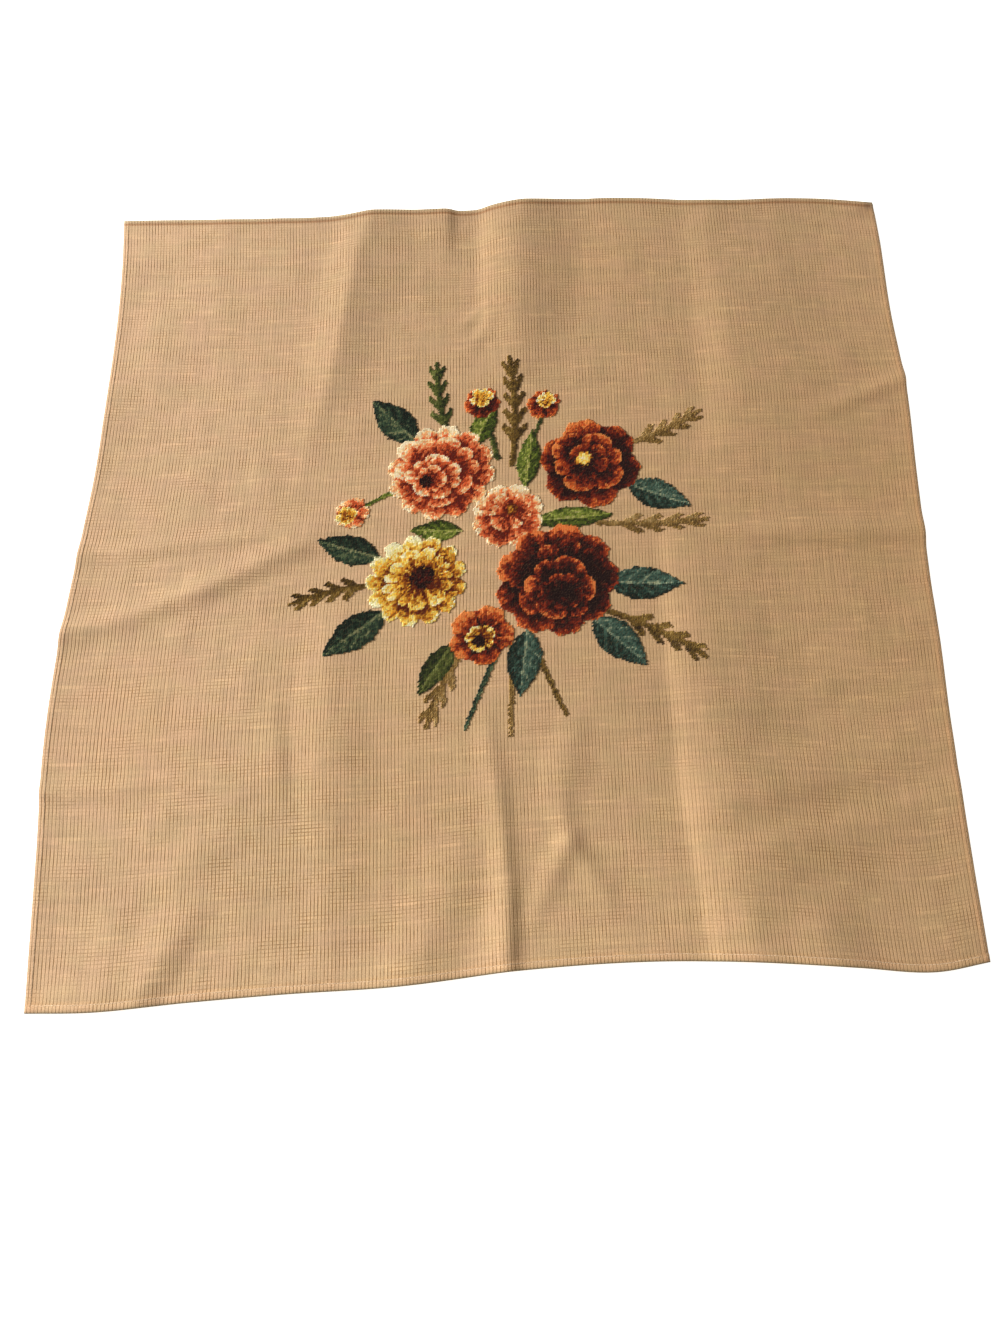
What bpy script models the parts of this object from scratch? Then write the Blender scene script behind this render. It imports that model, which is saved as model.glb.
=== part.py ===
"""Needlepoint canvas panel, lying on a table as it was unfolded.

It is one square of canvas with a turned hem. The cloth rests flat where it can and rises in
folds and ripples elsewhere, and a bouquet in wool stands a little proud of it. Sizes below are
in millimetres, and the mesh is made in metres.
"""

import math
from collections import namedtuple

import bmesh
import bpy
import numpy as np
from mathutils import Vector
from mathutils.geometry import delaunay_2d_cdt

MM = 0.001

# Driving dimensions
SIDE = 585.0
HALF = SIDE / 2
CLOTH_THICK = 1.2
HEM_WIDTH = 5.0
HEM_THICK = 2.2
HEM_STEP = 0.9
HEM_CURL = 1.2
CURL_REACH = 30.0
WOOL_RISE = 1.1
WOOL_EDGE = 1.3
STEM_HALF = 1.7
BARE_STEM = 0.22

# How finely the surface is divided
GRID_STEP = 19.5
RIM_STEP = 14.625
FOLD_STEP = 11.0
CLEAR_OF_RINGS = 5.0
CLEAR_OF_CRESTS = 3.5
CLEAR_OF_FEET = 5.0
CLEAR_OF_FOLDS = 9.0

# Corners of the laid canvas on the table
Corner = namedtuple("Corner", "x y")
NEAR_LEFT = Corner(-294.1, -298.1)
NEAR_RIGHT = Corner(287.5, -285.0)
FAR_RIGHT = Corner(303.9, 292.7)
FAR_LEFT = Corner(-288.3, 288.8)

# How far each edge strays outward from the straight line between its corners. `along` runs
# from the left on the near and far edges, and away from the viewer on the left and right ones.
EdgePoint = namedtuple("EdgePoint", "along out")
NEAR_EDGE = (
    EdgePoint(0, 0.5),
    EdgePoint(40, 2.0),
    EdgePoint(95, -0.5),
    EdgePoint(150, -2.2),
    EdgePoint(225, -3.2),
    EdgePoint(300, -8.6),
    EdgePoint(395, -8.9),
    EdgePoint(450, -4.8),
    EdgePoint(505, 1.0),
    EdgePoint(553, 5.6),
    EdgePoint(585, 1.5),
)
FAR_EDGE = (
    EdgePoint(0, 0.0),
    EdgePoint(75, -1.8),
    EdgePoint(150, -2.0),
    EdgePoint(215, 1.5),
    EdgePoint(265, 1.0),
    EdgePoint(310, 4.5),
    EdgePoint(350, 7.5),
    EdgePoint(400, 7.2),
    EdgePoint(450, 4.2),
    EdgePoint(540, 5.0),
    EdgePoint(585, 0.5),
)
LEFT_EDGE = (
    EdgePoint(0, 1.4),
    EdgePoint(90, 5.8),
    EdgePoint(170, 10.3),
    EdgePoint(230, 8.9),
    EdgePoint(300, 3.5),
    EdgePoint(370, -2.0),
    EdgePoint(455, -4.3),
    EdgePoint(540, -2.8),
    EdgePoint(585, 0.5),
)
RIGHT_EDGE = (
    EdgePoint(0, 1.8),
    EdgePoint(60, 0.3),
    EdgePoint(240, 0.2),
    EdgePoint(340, 2.2),
    EdgePoint(410, 4.2),
    EdgePoint(480, 1.0),
    EdgePoint(555, 1.0),
    EdgePoint(585, 0.0),
)

# The folds. Each follows its stations, where the crest stands at `height` and runs down to the
# table over `left` on the left-hand side of the walk from the first station to the last, and
# over `right` on the other. The form of each side is 1 for a pressed crease that is steep at
# its crest, 0 for a soft swell, and -1 for a round hump that is steep at its foot.
Station = namedtuple("Station", "x y height left right")
Fold = namedtuple("Fold", "name left_form right_form stations")
FOLDS = (
    Fold("near middle ridge", 0.7, 0.7, (
        Station(-5, -294, 4.9, 30, 10),
        Station(-4, -240, 4.4, 17, 11),
        Station(-6, -203, 3.2, 15, 11),
        Station(-9, -172, 2.8, 16, 14),
        Station(-13, -140, 1.8, 16, 16),
        Station(-16, -108, 0.0, 12, 12),
    )),
    Fold("near middle foot", 0.1, 0.1, (
        Station(-66, -296, 2.8, 40, 28),
        Station(-42, -238, 1.6, 32, 22),
        Station(-30, -196, 0.0, 20, 16),
    )),
    Fold("right crease", -0.7, 0.0, (
        Station(153, -291, 4.8, 32, 100),
        Station(147, -232, 4.8, 32, 95),
        Station(141, -190, 4.6, 31, 90),
        Station(139, -150, 4.2, 30, 85),
        Station(138, -100, 3.6, 30, 80),
        Station(136, -48, 2.8, 30, 75),
        Station(134, -4, 1.4, 26, 60),
        Station(134, 34, 0.0, 18, 40),
    )),
    Fold("right crease lip", -0.8, 0.0, (
        Station(128, -291, 1.8, 11, 75),
        Station(125, -240, 1.9, 11, 75),
        Station(119, -190, 1.9, 11, 72),
        Station(118, -130, 1.9, 11, 70),
        Station(118, -60, 1.7, 11, 64),
        Station(119, -10, 1.0, 11, 48),
        Station(121, 30, 0.0, 9, 24),
    )),
    Fold("far right band", -0.4, 0.0, (
        Station(152, 40, 0.0, 20, 50),
        Station(170, 84, 1.8, 26, 80),
        Station(178, 125, 3.2, 30, 95),
        Station(179, 180, 3.8, 29, 95),
        Station(175, 240, 2.6, 26, 95),
        Station(170, 298, 1.2, 22, 90),
    )),
    Fold("far left ridge", 0.6, 0.6, (
        Station(-138, 76, 0.0, 20, 16),
        Station(-130, 112, 1.5, 26, 26),
        Station(-120, 155, 3.3, 28, 34),
        Station(-113, 200, 5.1, 31, 38),
        Station(-106, 250, 4.9, 33, 56),
        Station(-92, 297, 4.2, 33, 66),
    )),
    Fold("far middle hump", -0.8, 0.0, (
        Station(10, 128, 0.0, 20, 30),
        Station(17, 165, 2.1, 30, 42),
        Station(20, 205, 3.7, 34, 50),
        Station(22, 250, 4.6, 36, 52),
        Station(25, 302, 4.6, 36, 54),
    )),
    Fold("far middle lip", -0.8, 0.0, (
        Station(-2, 165, 0.0, 8, 26),
        Station(-2, 200, 1.3, 9, 40),
        Station(-1, 250, 1.6, 9, 44),
        Station(1, 302, 1.5, 9, 44),
    )),
    Fold("far middle crease", 0.1, 0.3, (
        Station(17, 140, 0.0, 24, 34),
        Station(20, 190, 1.8, 30, 46),
        Station(22, 250, 2.0, 32, 50),
        Station(25, 302, 1.8, 32, 52),
    )),
    Fold("far edge notch", 0.3, 0.5, (
        Station(-35, 238, 0.0, 26, 7),
        Station(-34, 270, 2.4, 34, 7),
        Station(-33, 299, 3.0, 36, 7),
    )),
    Fold("far edge arch", 0.0, 0.0, (
        Station(92, 150, 0.0, 50, 50),
        Station(95, 230, 1.4, 80, 90),
        Station(98, 304, 2.6, 90, 120),
    )),
    Fold("crumple, outer line", 0.6, 0.6, (
        Station(-32, 179, 0.0, 7, 9),
        Station(-15, 193, 1.5, 7, 9),
        Station(-2, 205, 0.0, 7, 9),
    )),
    Fold("crumple, inner line", 0.6, 0.6, (
        Station(-24, 155, 0.0, 8, 8),
        Station(-10, 177, 1.7, 8, 9),
        Station(-2, 196, 0.2, 8, 9),
    )),
    Fold("left crossing ridge", 0.5, 0.5, (
        Station(-303, -59, 2.6, 18, 14),
        Station(-250, -45, 2.6, 17, 13),
        Station(-200, -25, 3.4, 18, 13),
        Station(-146, 1, 2.8, 20, 15),
        Station(-108, 16, 0.0, 16, 14),
    )),
    Fold("left upper line", 0.3, 0.3, (
        Station(-296, 0, 1.2, 13, 9),
        Station(-215, 8, 1.6, 13, 9),
        Station(-160, 14, 1.6, 13, 9),
        Station(-120, 18, 0.0, 10, 8),
    )),
    Fold("left low band", -0.6, 0.2, (
        Station(-110, -276, 0.0, 14, 18),
        Station(-113, -220, 1.4, 20, 30),
        Station(-117, -155, 2.4, 24, 36),
        Station(-119, -100, 2.2, 24, 38),
        Station(-118, -50, 1.2, 22, 32),
        Station(-116, -14, 0.0, 16, 16),
    )),
    Fold("left low groove side", 0.4, 0.4, (
        Station(-143, -190, 0.0, 18, 6),
        Station(-150, -145, 1.7, 26, 7),
        Station(-156, -90, 0.0, 18, 6),
    )),
    Fold("near left crease", 0.3, -0.6, (
        Station(-235, -301, 3.1, 34, 16),
        Station(-212, -262, 2.5, 28, 16),
        Station(-186, -226, 0.0, 18, 11),
    )),
    Fold("near left corner swell", 0.1, 0.1, (
        Station(-262, -303, 2.6, 34, 24),
        Station(-250, -270, 1.8, 30, 22),
        Station(-243, -232, 0.0, 20, 16),
    )),
    Fold("near left bump", 0.0, 0.0, (
        Station(-232, -230, 0.0, 14, 14),
        Station(-196, -208, 1.3, 25, 22),
        Station(-158, -184, 0.0, 14, 14),
    )),
    Fold("star crease, left", 0.4, 0.4, (
        Station(4, -272, 0.0, 10, 10),
        Station(21, -231, 1.8, 13, 13),
        Station(34, -206, 2.8, 14, 14),
        Station(34, -176, 0.0, 10, 10),
    )),
    Fold("star crease, right", 0.4, 0.4, (
        Station(70, -264, 0.0, 10, 10),
        Station(51, -229, 1.5, 13, 13),
        Station(37, -207, 2.4, 13, 13),
    )),
    Fold("middle streak", -0.7, 0.1, (
        Station(26, -196, 0.0, 10, 14),
        Station(35, -160, 2.2, 18, 22),
        Station(46, -112, 0.0, 10, 14),
    )),
    Fold("near right, upper side", 0.1, 0.1, (
        Station(96, -191, 0.4, 28, 15),
        Station(190, -174, 1.6, 34, 16),
        Station(288, -149, 0.4, 28, 15),
    )),
    Fold("near right, lower side", 0.2, 0.2, (
        Station(118, -226, 0.4, 15, 28),
        Station(162, -213, 1.8, 15, 34),
        Station(205, -205, 1.6, 15, 34),
        Station(292, -177, 0.6, 14, 30),
    )),
    Fold("near edge wave", 0.0, 0.0, (
        Station(192, -290, 3.8, 34, 40),
        Station(190, -264, 1.8, 28, 34),
        Station(188, -236, 0.0, 18, 22),
    )),
    Fold("right rising line", 0.4, 0.4, (
        Station(214, 95, 0.0, 10, 8),
        Station(262, 112, 2.0, 14, 10),
        Station(308, 131, 2.2, 14, 10),
    )),
    Fold("right level line", 0.2, 0.2, (
        Station(140, 8, 0.0, 12, 9),
        Station(190, 5, 2.8, 20, 12),
        Station(240, 3, 3.0, 20, 12),
        Station(304, 2, 2.2, 20, 12),
    )),
    Fold("left level line", 0.2, 0.2, (
        Station(-304, -165, 1.4, 10, 9),
        Station(-250, -164, 1.6, 10, 9),
        Station(-206, -160, 0.0, 8, 7),
    )),
    Fold("left far swell", 0.0, 0.0, (
        Station(-294, 112, 1.8, 40, 50),
        Station(-240, 175, 1.2, 50, 50),
        Station(-190, 252, 0.0, 34, 34),
    )),
    Fold("right near swell", 0.0, 0.0, (
        Station(296, -80, 1.8, 60, 50),
        Station(240, -68, 1.2, 55, 50),
        Station(184, -58, 0.0, 36, 36),
    )),
)

# The wool bouquet, in millimetres from the middle of the canvas along its threads
Bloom = namedtuple("Bloom", "x y radius petals notch turn")
Leaf = namedtuple("Leaf", "x y length width turn")
Spray = namedtuple("Spray", "x y length width turn bend pairs")
BLOOMS = (
    Bloom(-46, 60, 38, 12, 0.13, 8),
    Bloom(36, -30, 42, 9, 0.12, 20),
    Bloom(-60, -24, 34, 13, 0.16, 0),
    Bloom(60, 60, 36, 6, 0.16, 12),
    Bloom(2, 22, 25, 8, 0.12, 0),
    Bloom(-15, -68, 22, 5, 0.18, 30),
    Bloom(-18, 116, 13, 5, 0.15, 90),
    Bloom(27, 111, 12, 5, 0.15, 60),
    Bloom(-107, 30, 12, 5, 0.15, 180),
)
LEAVES = (
    Leaf(-64, 84, 50, 25, 132),
    Leaf(-86, -6, 46, 22, 160),
    Leaf(86, 42, 48, 23, -22),
    Leaf(70, -34, 52, 25, -4),
    Leaf(60, -60, 50, 25, -46),
    Leaf(16, -66, 48, 24, -96),
    Leaf(-80, -46, 50, 24, -142),
    Leaf(-24, 80, 38, 18, 66),
    Leaf(14, 44, 46, 17, 84),
    Leaf(-34, -72, 42, 18, -122),
    Leaf(20, 16, 56, 17, 2),
    Leaf(-30, 12, 36, 16, 176),
)
SPRAYS = (
    Spray(4, 62, 92, 18, 84, 14, 5),
    Spray(84, 74, 64, 17, 16, 22, 4),
    Spray(-40, 84, 70, 16, 110, -22, 4),
    Spray(-78, 46, 30, 5, 208, 0, 0),
    Spray(-86, -26, 60, 17, 182, 18, 4),
    Spray(70, -56, 74, 17, -20, -20, 4),
    Spray(-28, -80, 56, 16, 236, 20, 3),
    Spray(-6, 68, 44, 5, 104, 0, 0),
    Spray(14, 66, 40, 5, 72, 0, 0),
    Spray(64, 12, 78, 15, -6, 14, 4),
    Spray(-4, -80, 58, 5, -112, 0, 0),
    Spray(6, -78, 64, 6, -92, 0, 0),
    Spray(18, -74, 60, 5, -68, 0, 0),
)


def smooth_curve(rows, at):
    """Values at positions `at` on a smooth curve through rows of position and value."""
    position, value = np.array(rows, float).T
    slope = np.gradient(value, position)
    i = np.clip(np.searchsorted(position, at) - 1, 0, len(position) - 2)
    step = position[i + 1] - position[i]
    f = np.clip((at - position[i]) / step, 0, 1)
    held = value[i] * (1 + 2 * f) * (1 - f) ** 2 + value[i + 1] * f * f * (3 - 2 * f)
    turned = slope[i] * f * (1 - f) ** 2 - slope[i + 1] * f * f * (1 - f)
    return held + step * turned


def laid_out(u, v):
    """Where canvas points u across and v away from the middle lie on the table."""
    s = u / SIDE + 0.5
    t = v / SIDE + 0.5
    corners = (
        (NEAR_LEFT, (1 - s) * (1 - t)),
        (NEAR_RIGHT, s * (1 - t)),
        (FAR_LEFT, (1 - s) * t),
        (FAR_RIGHT, s * t),
    )
    x = sum(corner.x * share for corner, share in corners)
    y = sum(corner.y * share for corner, share in corners)
    x = x + s * s * smooth_curve(RIGHT_EDGE, v + HALF)
    x = x - (1 - s) ** 2 * smooth_curve(LEFT_EDGE, v + HALF)
    y = y + t * t * smooth_curve(FAR_EDGE, u + HALF)
    y = y - (1 - t) ** 2 * smooth_curve(NEAR_EDGE, u + HALF)
    return x, y


def canvas_point(x, y):
    """The canvas point that lies at (x, y) on the table, by a few corrections."""
    u, v = np.array(x, float), np.array(y, float)
    for _ in range(5):
        at_x, at_y = laid_out(u, v)
        u = u + x - at_x
        v = v + y - at_y
    return u, v


def fold_height(fold, x, y):
    """How high one fold lifts the cloth over the points (x, y) of the table."""
    lift = np.zeros_like(x)
    nearest = np.full_like(x, np.inf)
    for start, end in zip(fold.stations, fold.stations[1:]):
        run_x, run_y = end.x - start.x, end.y - start.y
        length = math.hypot(run_x, run_y)
        f = np.clip(((x - start.x) * run_x + (y - start.y) * run_y) / length**2, 0, 1)
        away_x = x - start.x - f * run_x
        away_y = y - start.y - f * run_y
        away = np.hypot(away_x, away_y)
        on_left = run_x * away_y - run_y * away_x > 0
        left = start.left + f * (end.left - start.left)
        right = start.right + f * (end.right - start.right)
        crest = start.height + f * (end.height - start.height)
        form = np.where(on_left, fold.left_form, fold.right_form)
        off = np.clip(away / np.where(on_left, left, right), 0, 1)
        soft = (1 - off) ** 2 * (1 + 2 * off)
        steep = np.where(form > 0, (1 - off) ** 2, 1 - off**2)
        here = crest * (soft + np.abs(form) * (steep - soft))
        lift = np.where(away < nearest, here, lift)
        nearest = np.minimum(away, nearest)
    return lift


def cloth_height(x, y):
    """Height of the cloth's underside over the table."""
    return sum(fold_height(fold, x, y) for fold in FOLDS)


def hem_curl(u, v):
    """How far the stiff hem curls up off the table between the corners."""
    curl = np.zeros_like(u)
    for across, along in ((u, v), (v, u)):
        near_hem = np.clip(1 - (HALF - np.abs(across)) / CURL_REACH, 0, 1)
        off_corner = 1 - (np.abs(along) / HALF) ** 8
        curl = np.maximum(curl, HEM_CURL * near_hem**2 * off_corner)
    return curl


def bloom_outline(bloom):
    """A ring of rounded petals, three points to a petal."""
    points = []
    for petal in range(bloom.petals):
        for phase, reach in ((0.0, 1 - bloom.notch), (0.3, 1.0), (0.7, 1.0)):
            angle = math.radians(bloom.turn) + (petal + phase) / bloom.petals * math.tau
            radius = bloom.radius * reach
            points.append((bloom.x + radius * math.cos(angle), bloom.y + radius * math.sin(angle)))
    return points


def bent_line(x, y, turn, bend, length, along):
    """A point and direction on a stem that leaves (x, y) at `turn` and bends by `bend` degrees."""
    angle = math.radians(turn + bend * along / 2)
    reach = length * along
    heading = math.radians(turn + bend * along)
    return x + reach * math.cos(angle), y + reach * math.sin(angle), heading


def leaf_outline(leaf):
    """A pointed oval, widest before its middle."""
    sides = (0.14, 0.36, 0.6, 0.82)
    half_widths = [0.5 * leaf.width * math.sin(math.pi * along**0.85) for along in sides]
    walk = [(0.0, 0.0)]
    walk += [(along, -wide) for along, wide in zip(sides, half_widths)]
    walk += [(1.0, 0.0)]
    walk += [(along, wide) for along, wide in zip(sides[::-1], half_widths[::-1])]
    points = []
    for along, across in walk:
        x, y, heading = bent_line(leaf.x, leaf.y, leaf.turn, 0, leaf.length, along)
        points.append((x - across * math.sin(heading), y + across * math.cos(heading)))
    return points


def spray_outline(spray):
    """A stem with pairs of small slanting leaves, as one outline round a bent middle line."""
    near_side = [(0.0, STEM_HALF)]
    for pair in range(spray.pairs):
        tip = spray.width / 2 * (1 - 0.35 * pair / spray.pairs)
        for phase, wide in ((0.0, STEM_HALF), (0.8, tip), (1.05, 0.85 * tip), (0.6, STEM_HALF)):
            along = BARE_STEM + (1 - BARE_STEM) * (pair + phase) / (spray.pairs + 0.3)
            near_side.append((along, wide))
    walk = [(along, -wide) for along, wide in near_side]
    walk += [(1.0, -STEM_HALF / 2), (1.0, STEM_HALF / 2)]
    walk += near_side[::-1]
    points = []
    for along, across in walk:
        x, y, heading = bent_line(spray.x, spray.y, spray.turn, spray.bend, spray.length, along)
        points.append((x - across * math.sin(heading), y + across * math.cos(heading)))
    return points


def depth_inside(outline, x, y):
    """How far inside a closed outline each point lies, and less than 0 outside it."""
    nearest = np.full(x.shape, np.inf)
    inside = np.zeros(x.shape, bool)
    for (ax, ay), (bx, by) in zip(outline, outline[1:] + outline[:1]):
        run_x, run_y = bx - ax, by - ay
        f = ((x - ax) * run_x + (y - ay) * run_y) / (run_x**2 + run_y**2)
        f = np.clip(f, 0, 1)
        nearest = np.minimum(nearest, np.hypot(x - ax - f * run_x, y - ay - f * run_y))
        crosses = (ay > y) != (by > y)
        level = run_y if run_y else 1.0
        inside ^= crosses & (x < ax + (y - ay) / level * run_x)
    return np.where(inside, nearest, -nearest)


def wool_height(outlines, u, v):
    """How far the embroidery stands above the canvas, with a rounded edge."""
    depth = np.max([depth_inside(outline, u, v) for outline in outlines], axis=0)
    return WOOL_RISE * np.clip(depth / WOOL_EDGE, 0, 1)


def inset(outline, by):
    """The same outline moved inward, for an outline that runs anticlockwise."""
    points = []
    for before, here, after in zip(outline[-1:] + outline[:-1], outline, outline[1:] + outline[:1]):
        arriving = (Vector(here) - Vector(before)).normalized()
        leaving = (Vector(after) - Vector(here)).normalized()
        inward = Vector((-arriving.y - leaving.y, arriving.x + leaving.x)).normalized()
        spread = max(0.5, inward.dot(Vector((-arriving.y, arriving.x))))
        points.append(tuple(Vector(here) + inward * by / spread))
    return points


def square_ring(half, count):
    """Points round a square, `count` to a side, from its near left corner."""
    side = np.linspace(-half, half, count, endpoint=False)
    ring = [(u, -half) for u in side]
    ring += [(half, v) for v in side]
    ring += [(-u, half) for u in side]
    ring += [(-half, -v) for v in side]
    return ring


def fold_line(fold, share):
    """Canvas points along a fold: on its crest at 0, on its feet at 1 (left) and -1 (right)."""
    points = []
    for start, end in zip(fold.stations, fold.stations[1:]):
        run = Vector((end.x - start.x, end.y - start.y))
        across = Vector((-run.y, run.x)).normalized()
        steps = max(1, round(run.length / FOLD_STEP))
        for step in range(steps + 1):
            f = step / steps
            left = start.left + f * (end.left - start.left)
            right = start.right + f * (end.right - start.right)
            reach = share * (left if share > 0 else right)
            points.append(tuple(Vector((start.x, start.y)) + f * run + reach * across))
    x, y = np.array(points).T
    return list(zip(*canvas_point(x, y)))


class PlanLines:
    """The points and lines that the surface's triangles follow, in canvas millimetres."""

    def __init__(self):
        self.points = []
        self.lines = []
        self.drawn = 0

    def add_ring(self, ring):
        """Adds a closed line, such as the hem's or a motif's, whose points all stay."""
        first = len(self.points)
        self.points += ring
        self.drawn = len(self.points)
        self.lines += [(i, i + 1) for i in range(first, self.drawn - 1)]
        self.lines.append((self.drawn - 1, first))

    def add_free(self, candidates, clear, joined=False):
        """Adds the points that keep clear of the rings and of each other, in one line if joined."""
        limit = HALF - HEM_WIDTH - HEM_STEP - CLEAR_OF_RINGS
        before = None
        for u, v in candidates:
            placed = np.array(self.points)
            away = np.hypot(placed[:, 0] - u, placed[:, 1] - v)
            near_ring = min(away[:self.drawn]) < CLEAR_OF_RINGS
            near_free = min(away[self.drawn:], default=clear) < clear
            if max(abs(u), abs(v)) > limit or near_ring or near_free:
                before = None
                continue
            self.points.append((u, v))
            here = len(self.points) - 1
            if joined and before is not None:
                self.lines.append((before, here))
            before = here


def surface(outlines):
    """Canvas points and triangles of the sheet, finer along its folds, hem and embroidery."""
    plan = PlanLines()
    count = round(SIDE / RIM_STEP)
    plan.add_ring(square_ring(HALF, count))
    plan.add_ring(square_ring(HALF - HEM_WIDTH, count))
    plan.add_ring(square_ring(HALF - HEM_WIDTH - HEM_STEP, count))
    for outline in outlines:
        plan.add_ring(outline)
        plan.add_ring(inset(outline, WOOL_EDGE))
    for fold in FOLDS:
        plan.add_free(fold_line(fold, 0), CLEAR_OF_CRESTS, joined=True)
    for share in (1, -1, 0.5, -0.5):
        for fold in FOLDS:
            plan.add_free(fold_line(fold, share), CLEAR_OF_FEET)
    ticks = np.linspace(-HALF, HALF, round(SIDE / GRID_STEP) + 1)
    plan.add_free([(u, v) for v in ticks for u in ticks], CLEAR_OF_FOLDS)
    corners = [Vector(point) for point in plan.points]
    found = delaunay_2d_cdt(corners, plan.lines, [], 0, 1e-4)
    u, v = np.array([tuple(point) for point in found[0]]).T
    return u, v, [tuple(face) for face in found[2]]


def sheet_heights(outlines, u, v):
    """Height of the underside and of the top face, and the wool's own part of the latter."""
    under = cloth_height(*laid_out(u, v)) + hem_curl(u, v)
    from_edge = HALF - np.maximum(np.abs(u), np.abs(v))
    hem = np.clip((HEM_WIDTH + HEM_STEP - from_edge) / HEM_STEP, 0, 1)
    wool = wool_height(outlines, u, v)
    return under, under + CLOTH_THICK + (HEM_THICK - CLOTH_THICK) * hem + wool, wool


def canvas_material():
    """Undyed cotton canvas."""
    material = bpy.data.materials.new("canvas cotton")
    material.use_nodes = True
    shader = material.node_tree.nodes["Principled BSDF"]
    shader.inputs["Base Color"].default_value = (0.546, 0.365, 0.220, 1)
    shader.inputs["Roughness"].default_value = 0.85
    shader.inputs["Metallic"].default_value = 0.0
    return material


def wool_material():
    """Dyed wool, in the bouquet's mean colour."""
    material = bpy.data.materials.new("tapestry wool")
    material.use_nodes = True
    shader = material.node_tree.nodes["Principled BSDF"]
    shader.inputs["Base Color"].default_value = (0.235, 0.078, 0.048, 1)
    shader.inputs["Roughness"].default_value = 0.9
    shader.inputs["Metallic"].default_value = 0.0
    return material


def make_canvas():
    """The one solid: the sheet's top face, its underside, and the folded edge between them."""
    outlines = [bloom_outline(bloom) for bloom in BLOOMS]
    outlines += [leaf_outline(leaf) for leaf in LEAVES]
    outlines += [spray_outline(spray) for spray in SPRAYS]
    sheet = bmesh.new()
    u, v, triangles = surface(outlines)
    x, y = laid_out(u, v)
    under, top, wool = sheet_heights(outlines, u, v)
    upper = [sheet.verts.new(point) for point in zip(x * MM, y * MM, top * MM)]
    for triangle in triangles:
        face = sheet.faces.new([upper[i] for i in triangle])
        face.material_index = int(min(wool[i] for i in triangle) > WOOL_RISE / 2)
    u, v, triangles = surface([])
    x, y = laid_out(u, v)
    under, top, wool = sheet_heights(outlines, u, v)
    lower = [sheet.verts.new(point) for point in zip(x * MM, y * MM, under * MM)]
    for triangle in triangles:
        sheet.faces.new([lower[i] for i in reversed(triangle)])
    rim = round(SIDE / RIM_STEP) * 4
    for i in range(rim):
        j = (i + 1) % rim
        sheet.faces.new([lower[i], lower[j], upper[j], upper[i]])
    bmesh.ops.triangulate(sheet, faces=[face for face in sheet.faces if len(face.verts) > 3])
    bmesh.ops.recalc_face_normals(sheet, faces=sheet.faces[:])
    mesh = bpy.data.meshes.new("canvas")
    sheet.to_mesh(mesh)
    sheet.free()
    mesh.materials.append(canvas_material())
    mesh.materials.append(wool_material())
    mesh.shade_smooth()
    mesh.set_sharp_from_angle(angle=math.radians(40))
    panel = bpy.data.objects.new("canvas", mesh)
    bpy.context.scene.collection.objects.link(panel)
    return panel


def main():
    for thing in list(bpy.data.objects):
        bpy.data.objects.remove(thing)
    make_canvas()


main()
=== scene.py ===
"""Looks of the needlepoint canvas panel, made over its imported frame.

The cloth is one dense sheet with the outline and folds of the part. Its bouquet is made of
single wool stitches, and its hem is sewn down with a row of thread stitches. Sizes are in
millimetres from the middle of the canvas, as in the part's source, and meshes are in metres.
"""

import math
from collections import namedtuple

import bpy
import numpy as np
from mathutils import Matrix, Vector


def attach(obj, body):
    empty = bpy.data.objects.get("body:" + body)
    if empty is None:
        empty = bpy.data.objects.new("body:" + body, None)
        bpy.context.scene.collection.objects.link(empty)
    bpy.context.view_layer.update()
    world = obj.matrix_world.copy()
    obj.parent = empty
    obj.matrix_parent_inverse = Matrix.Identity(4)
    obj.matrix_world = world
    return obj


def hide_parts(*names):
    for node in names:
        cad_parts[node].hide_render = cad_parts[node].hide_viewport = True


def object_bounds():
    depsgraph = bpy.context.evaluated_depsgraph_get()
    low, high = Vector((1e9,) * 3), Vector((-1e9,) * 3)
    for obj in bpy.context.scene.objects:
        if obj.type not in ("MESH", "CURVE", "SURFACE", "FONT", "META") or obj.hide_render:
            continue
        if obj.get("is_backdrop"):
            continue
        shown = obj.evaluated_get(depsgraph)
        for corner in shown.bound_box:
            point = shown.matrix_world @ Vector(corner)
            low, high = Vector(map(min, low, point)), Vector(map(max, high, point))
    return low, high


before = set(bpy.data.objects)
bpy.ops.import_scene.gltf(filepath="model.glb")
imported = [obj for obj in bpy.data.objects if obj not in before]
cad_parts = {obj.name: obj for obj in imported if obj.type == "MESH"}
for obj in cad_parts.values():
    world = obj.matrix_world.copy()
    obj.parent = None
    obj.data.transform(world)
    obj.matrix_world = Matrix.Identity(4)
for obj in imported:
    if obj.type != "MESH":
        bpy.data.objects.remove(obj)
cad_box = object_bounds()

MM = 0.001
SEED = 7

# The cloth
SIDE = 585.0
HALF = SIDE / 2
MESHES = 258
MESH = SIDE / MESHES
CLOTH_THICK = 1.2
HEM_CURL = 1.2
CURL_REACH = 30.0
GRID_CELLS = 264
UNDERSIDE_STEP = 3
SMOOTHING = 2

# The hem in section: places from its outer fold inward and the share of its thickness there,
# and places round the end of its band, counted from the hem's width
FOLD_PLACES = (0, 0.35, 1.0, 2.0)
FOLD_SHARES = (0.45, 0.8, 0.97, 1)
BAND_ENDS = (-0.5, 0.1, 0.8, 2.2)
# Where the painted shade of a hem's outer fold gives way to its band's tone and painted light, and how a
# mark fades from its middle
BAND_TINT_FROM = (0.5, 1.2)
MARK_FADE = 0.7

# Small unevenness of the stiff cloth: waves of these lengths and heights
RIPPLE_COUNT = 26
RIPPLE_LENGTHS = (16.0, 75.0)
RIPPLE_HEIGHT = 0.085

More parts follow.
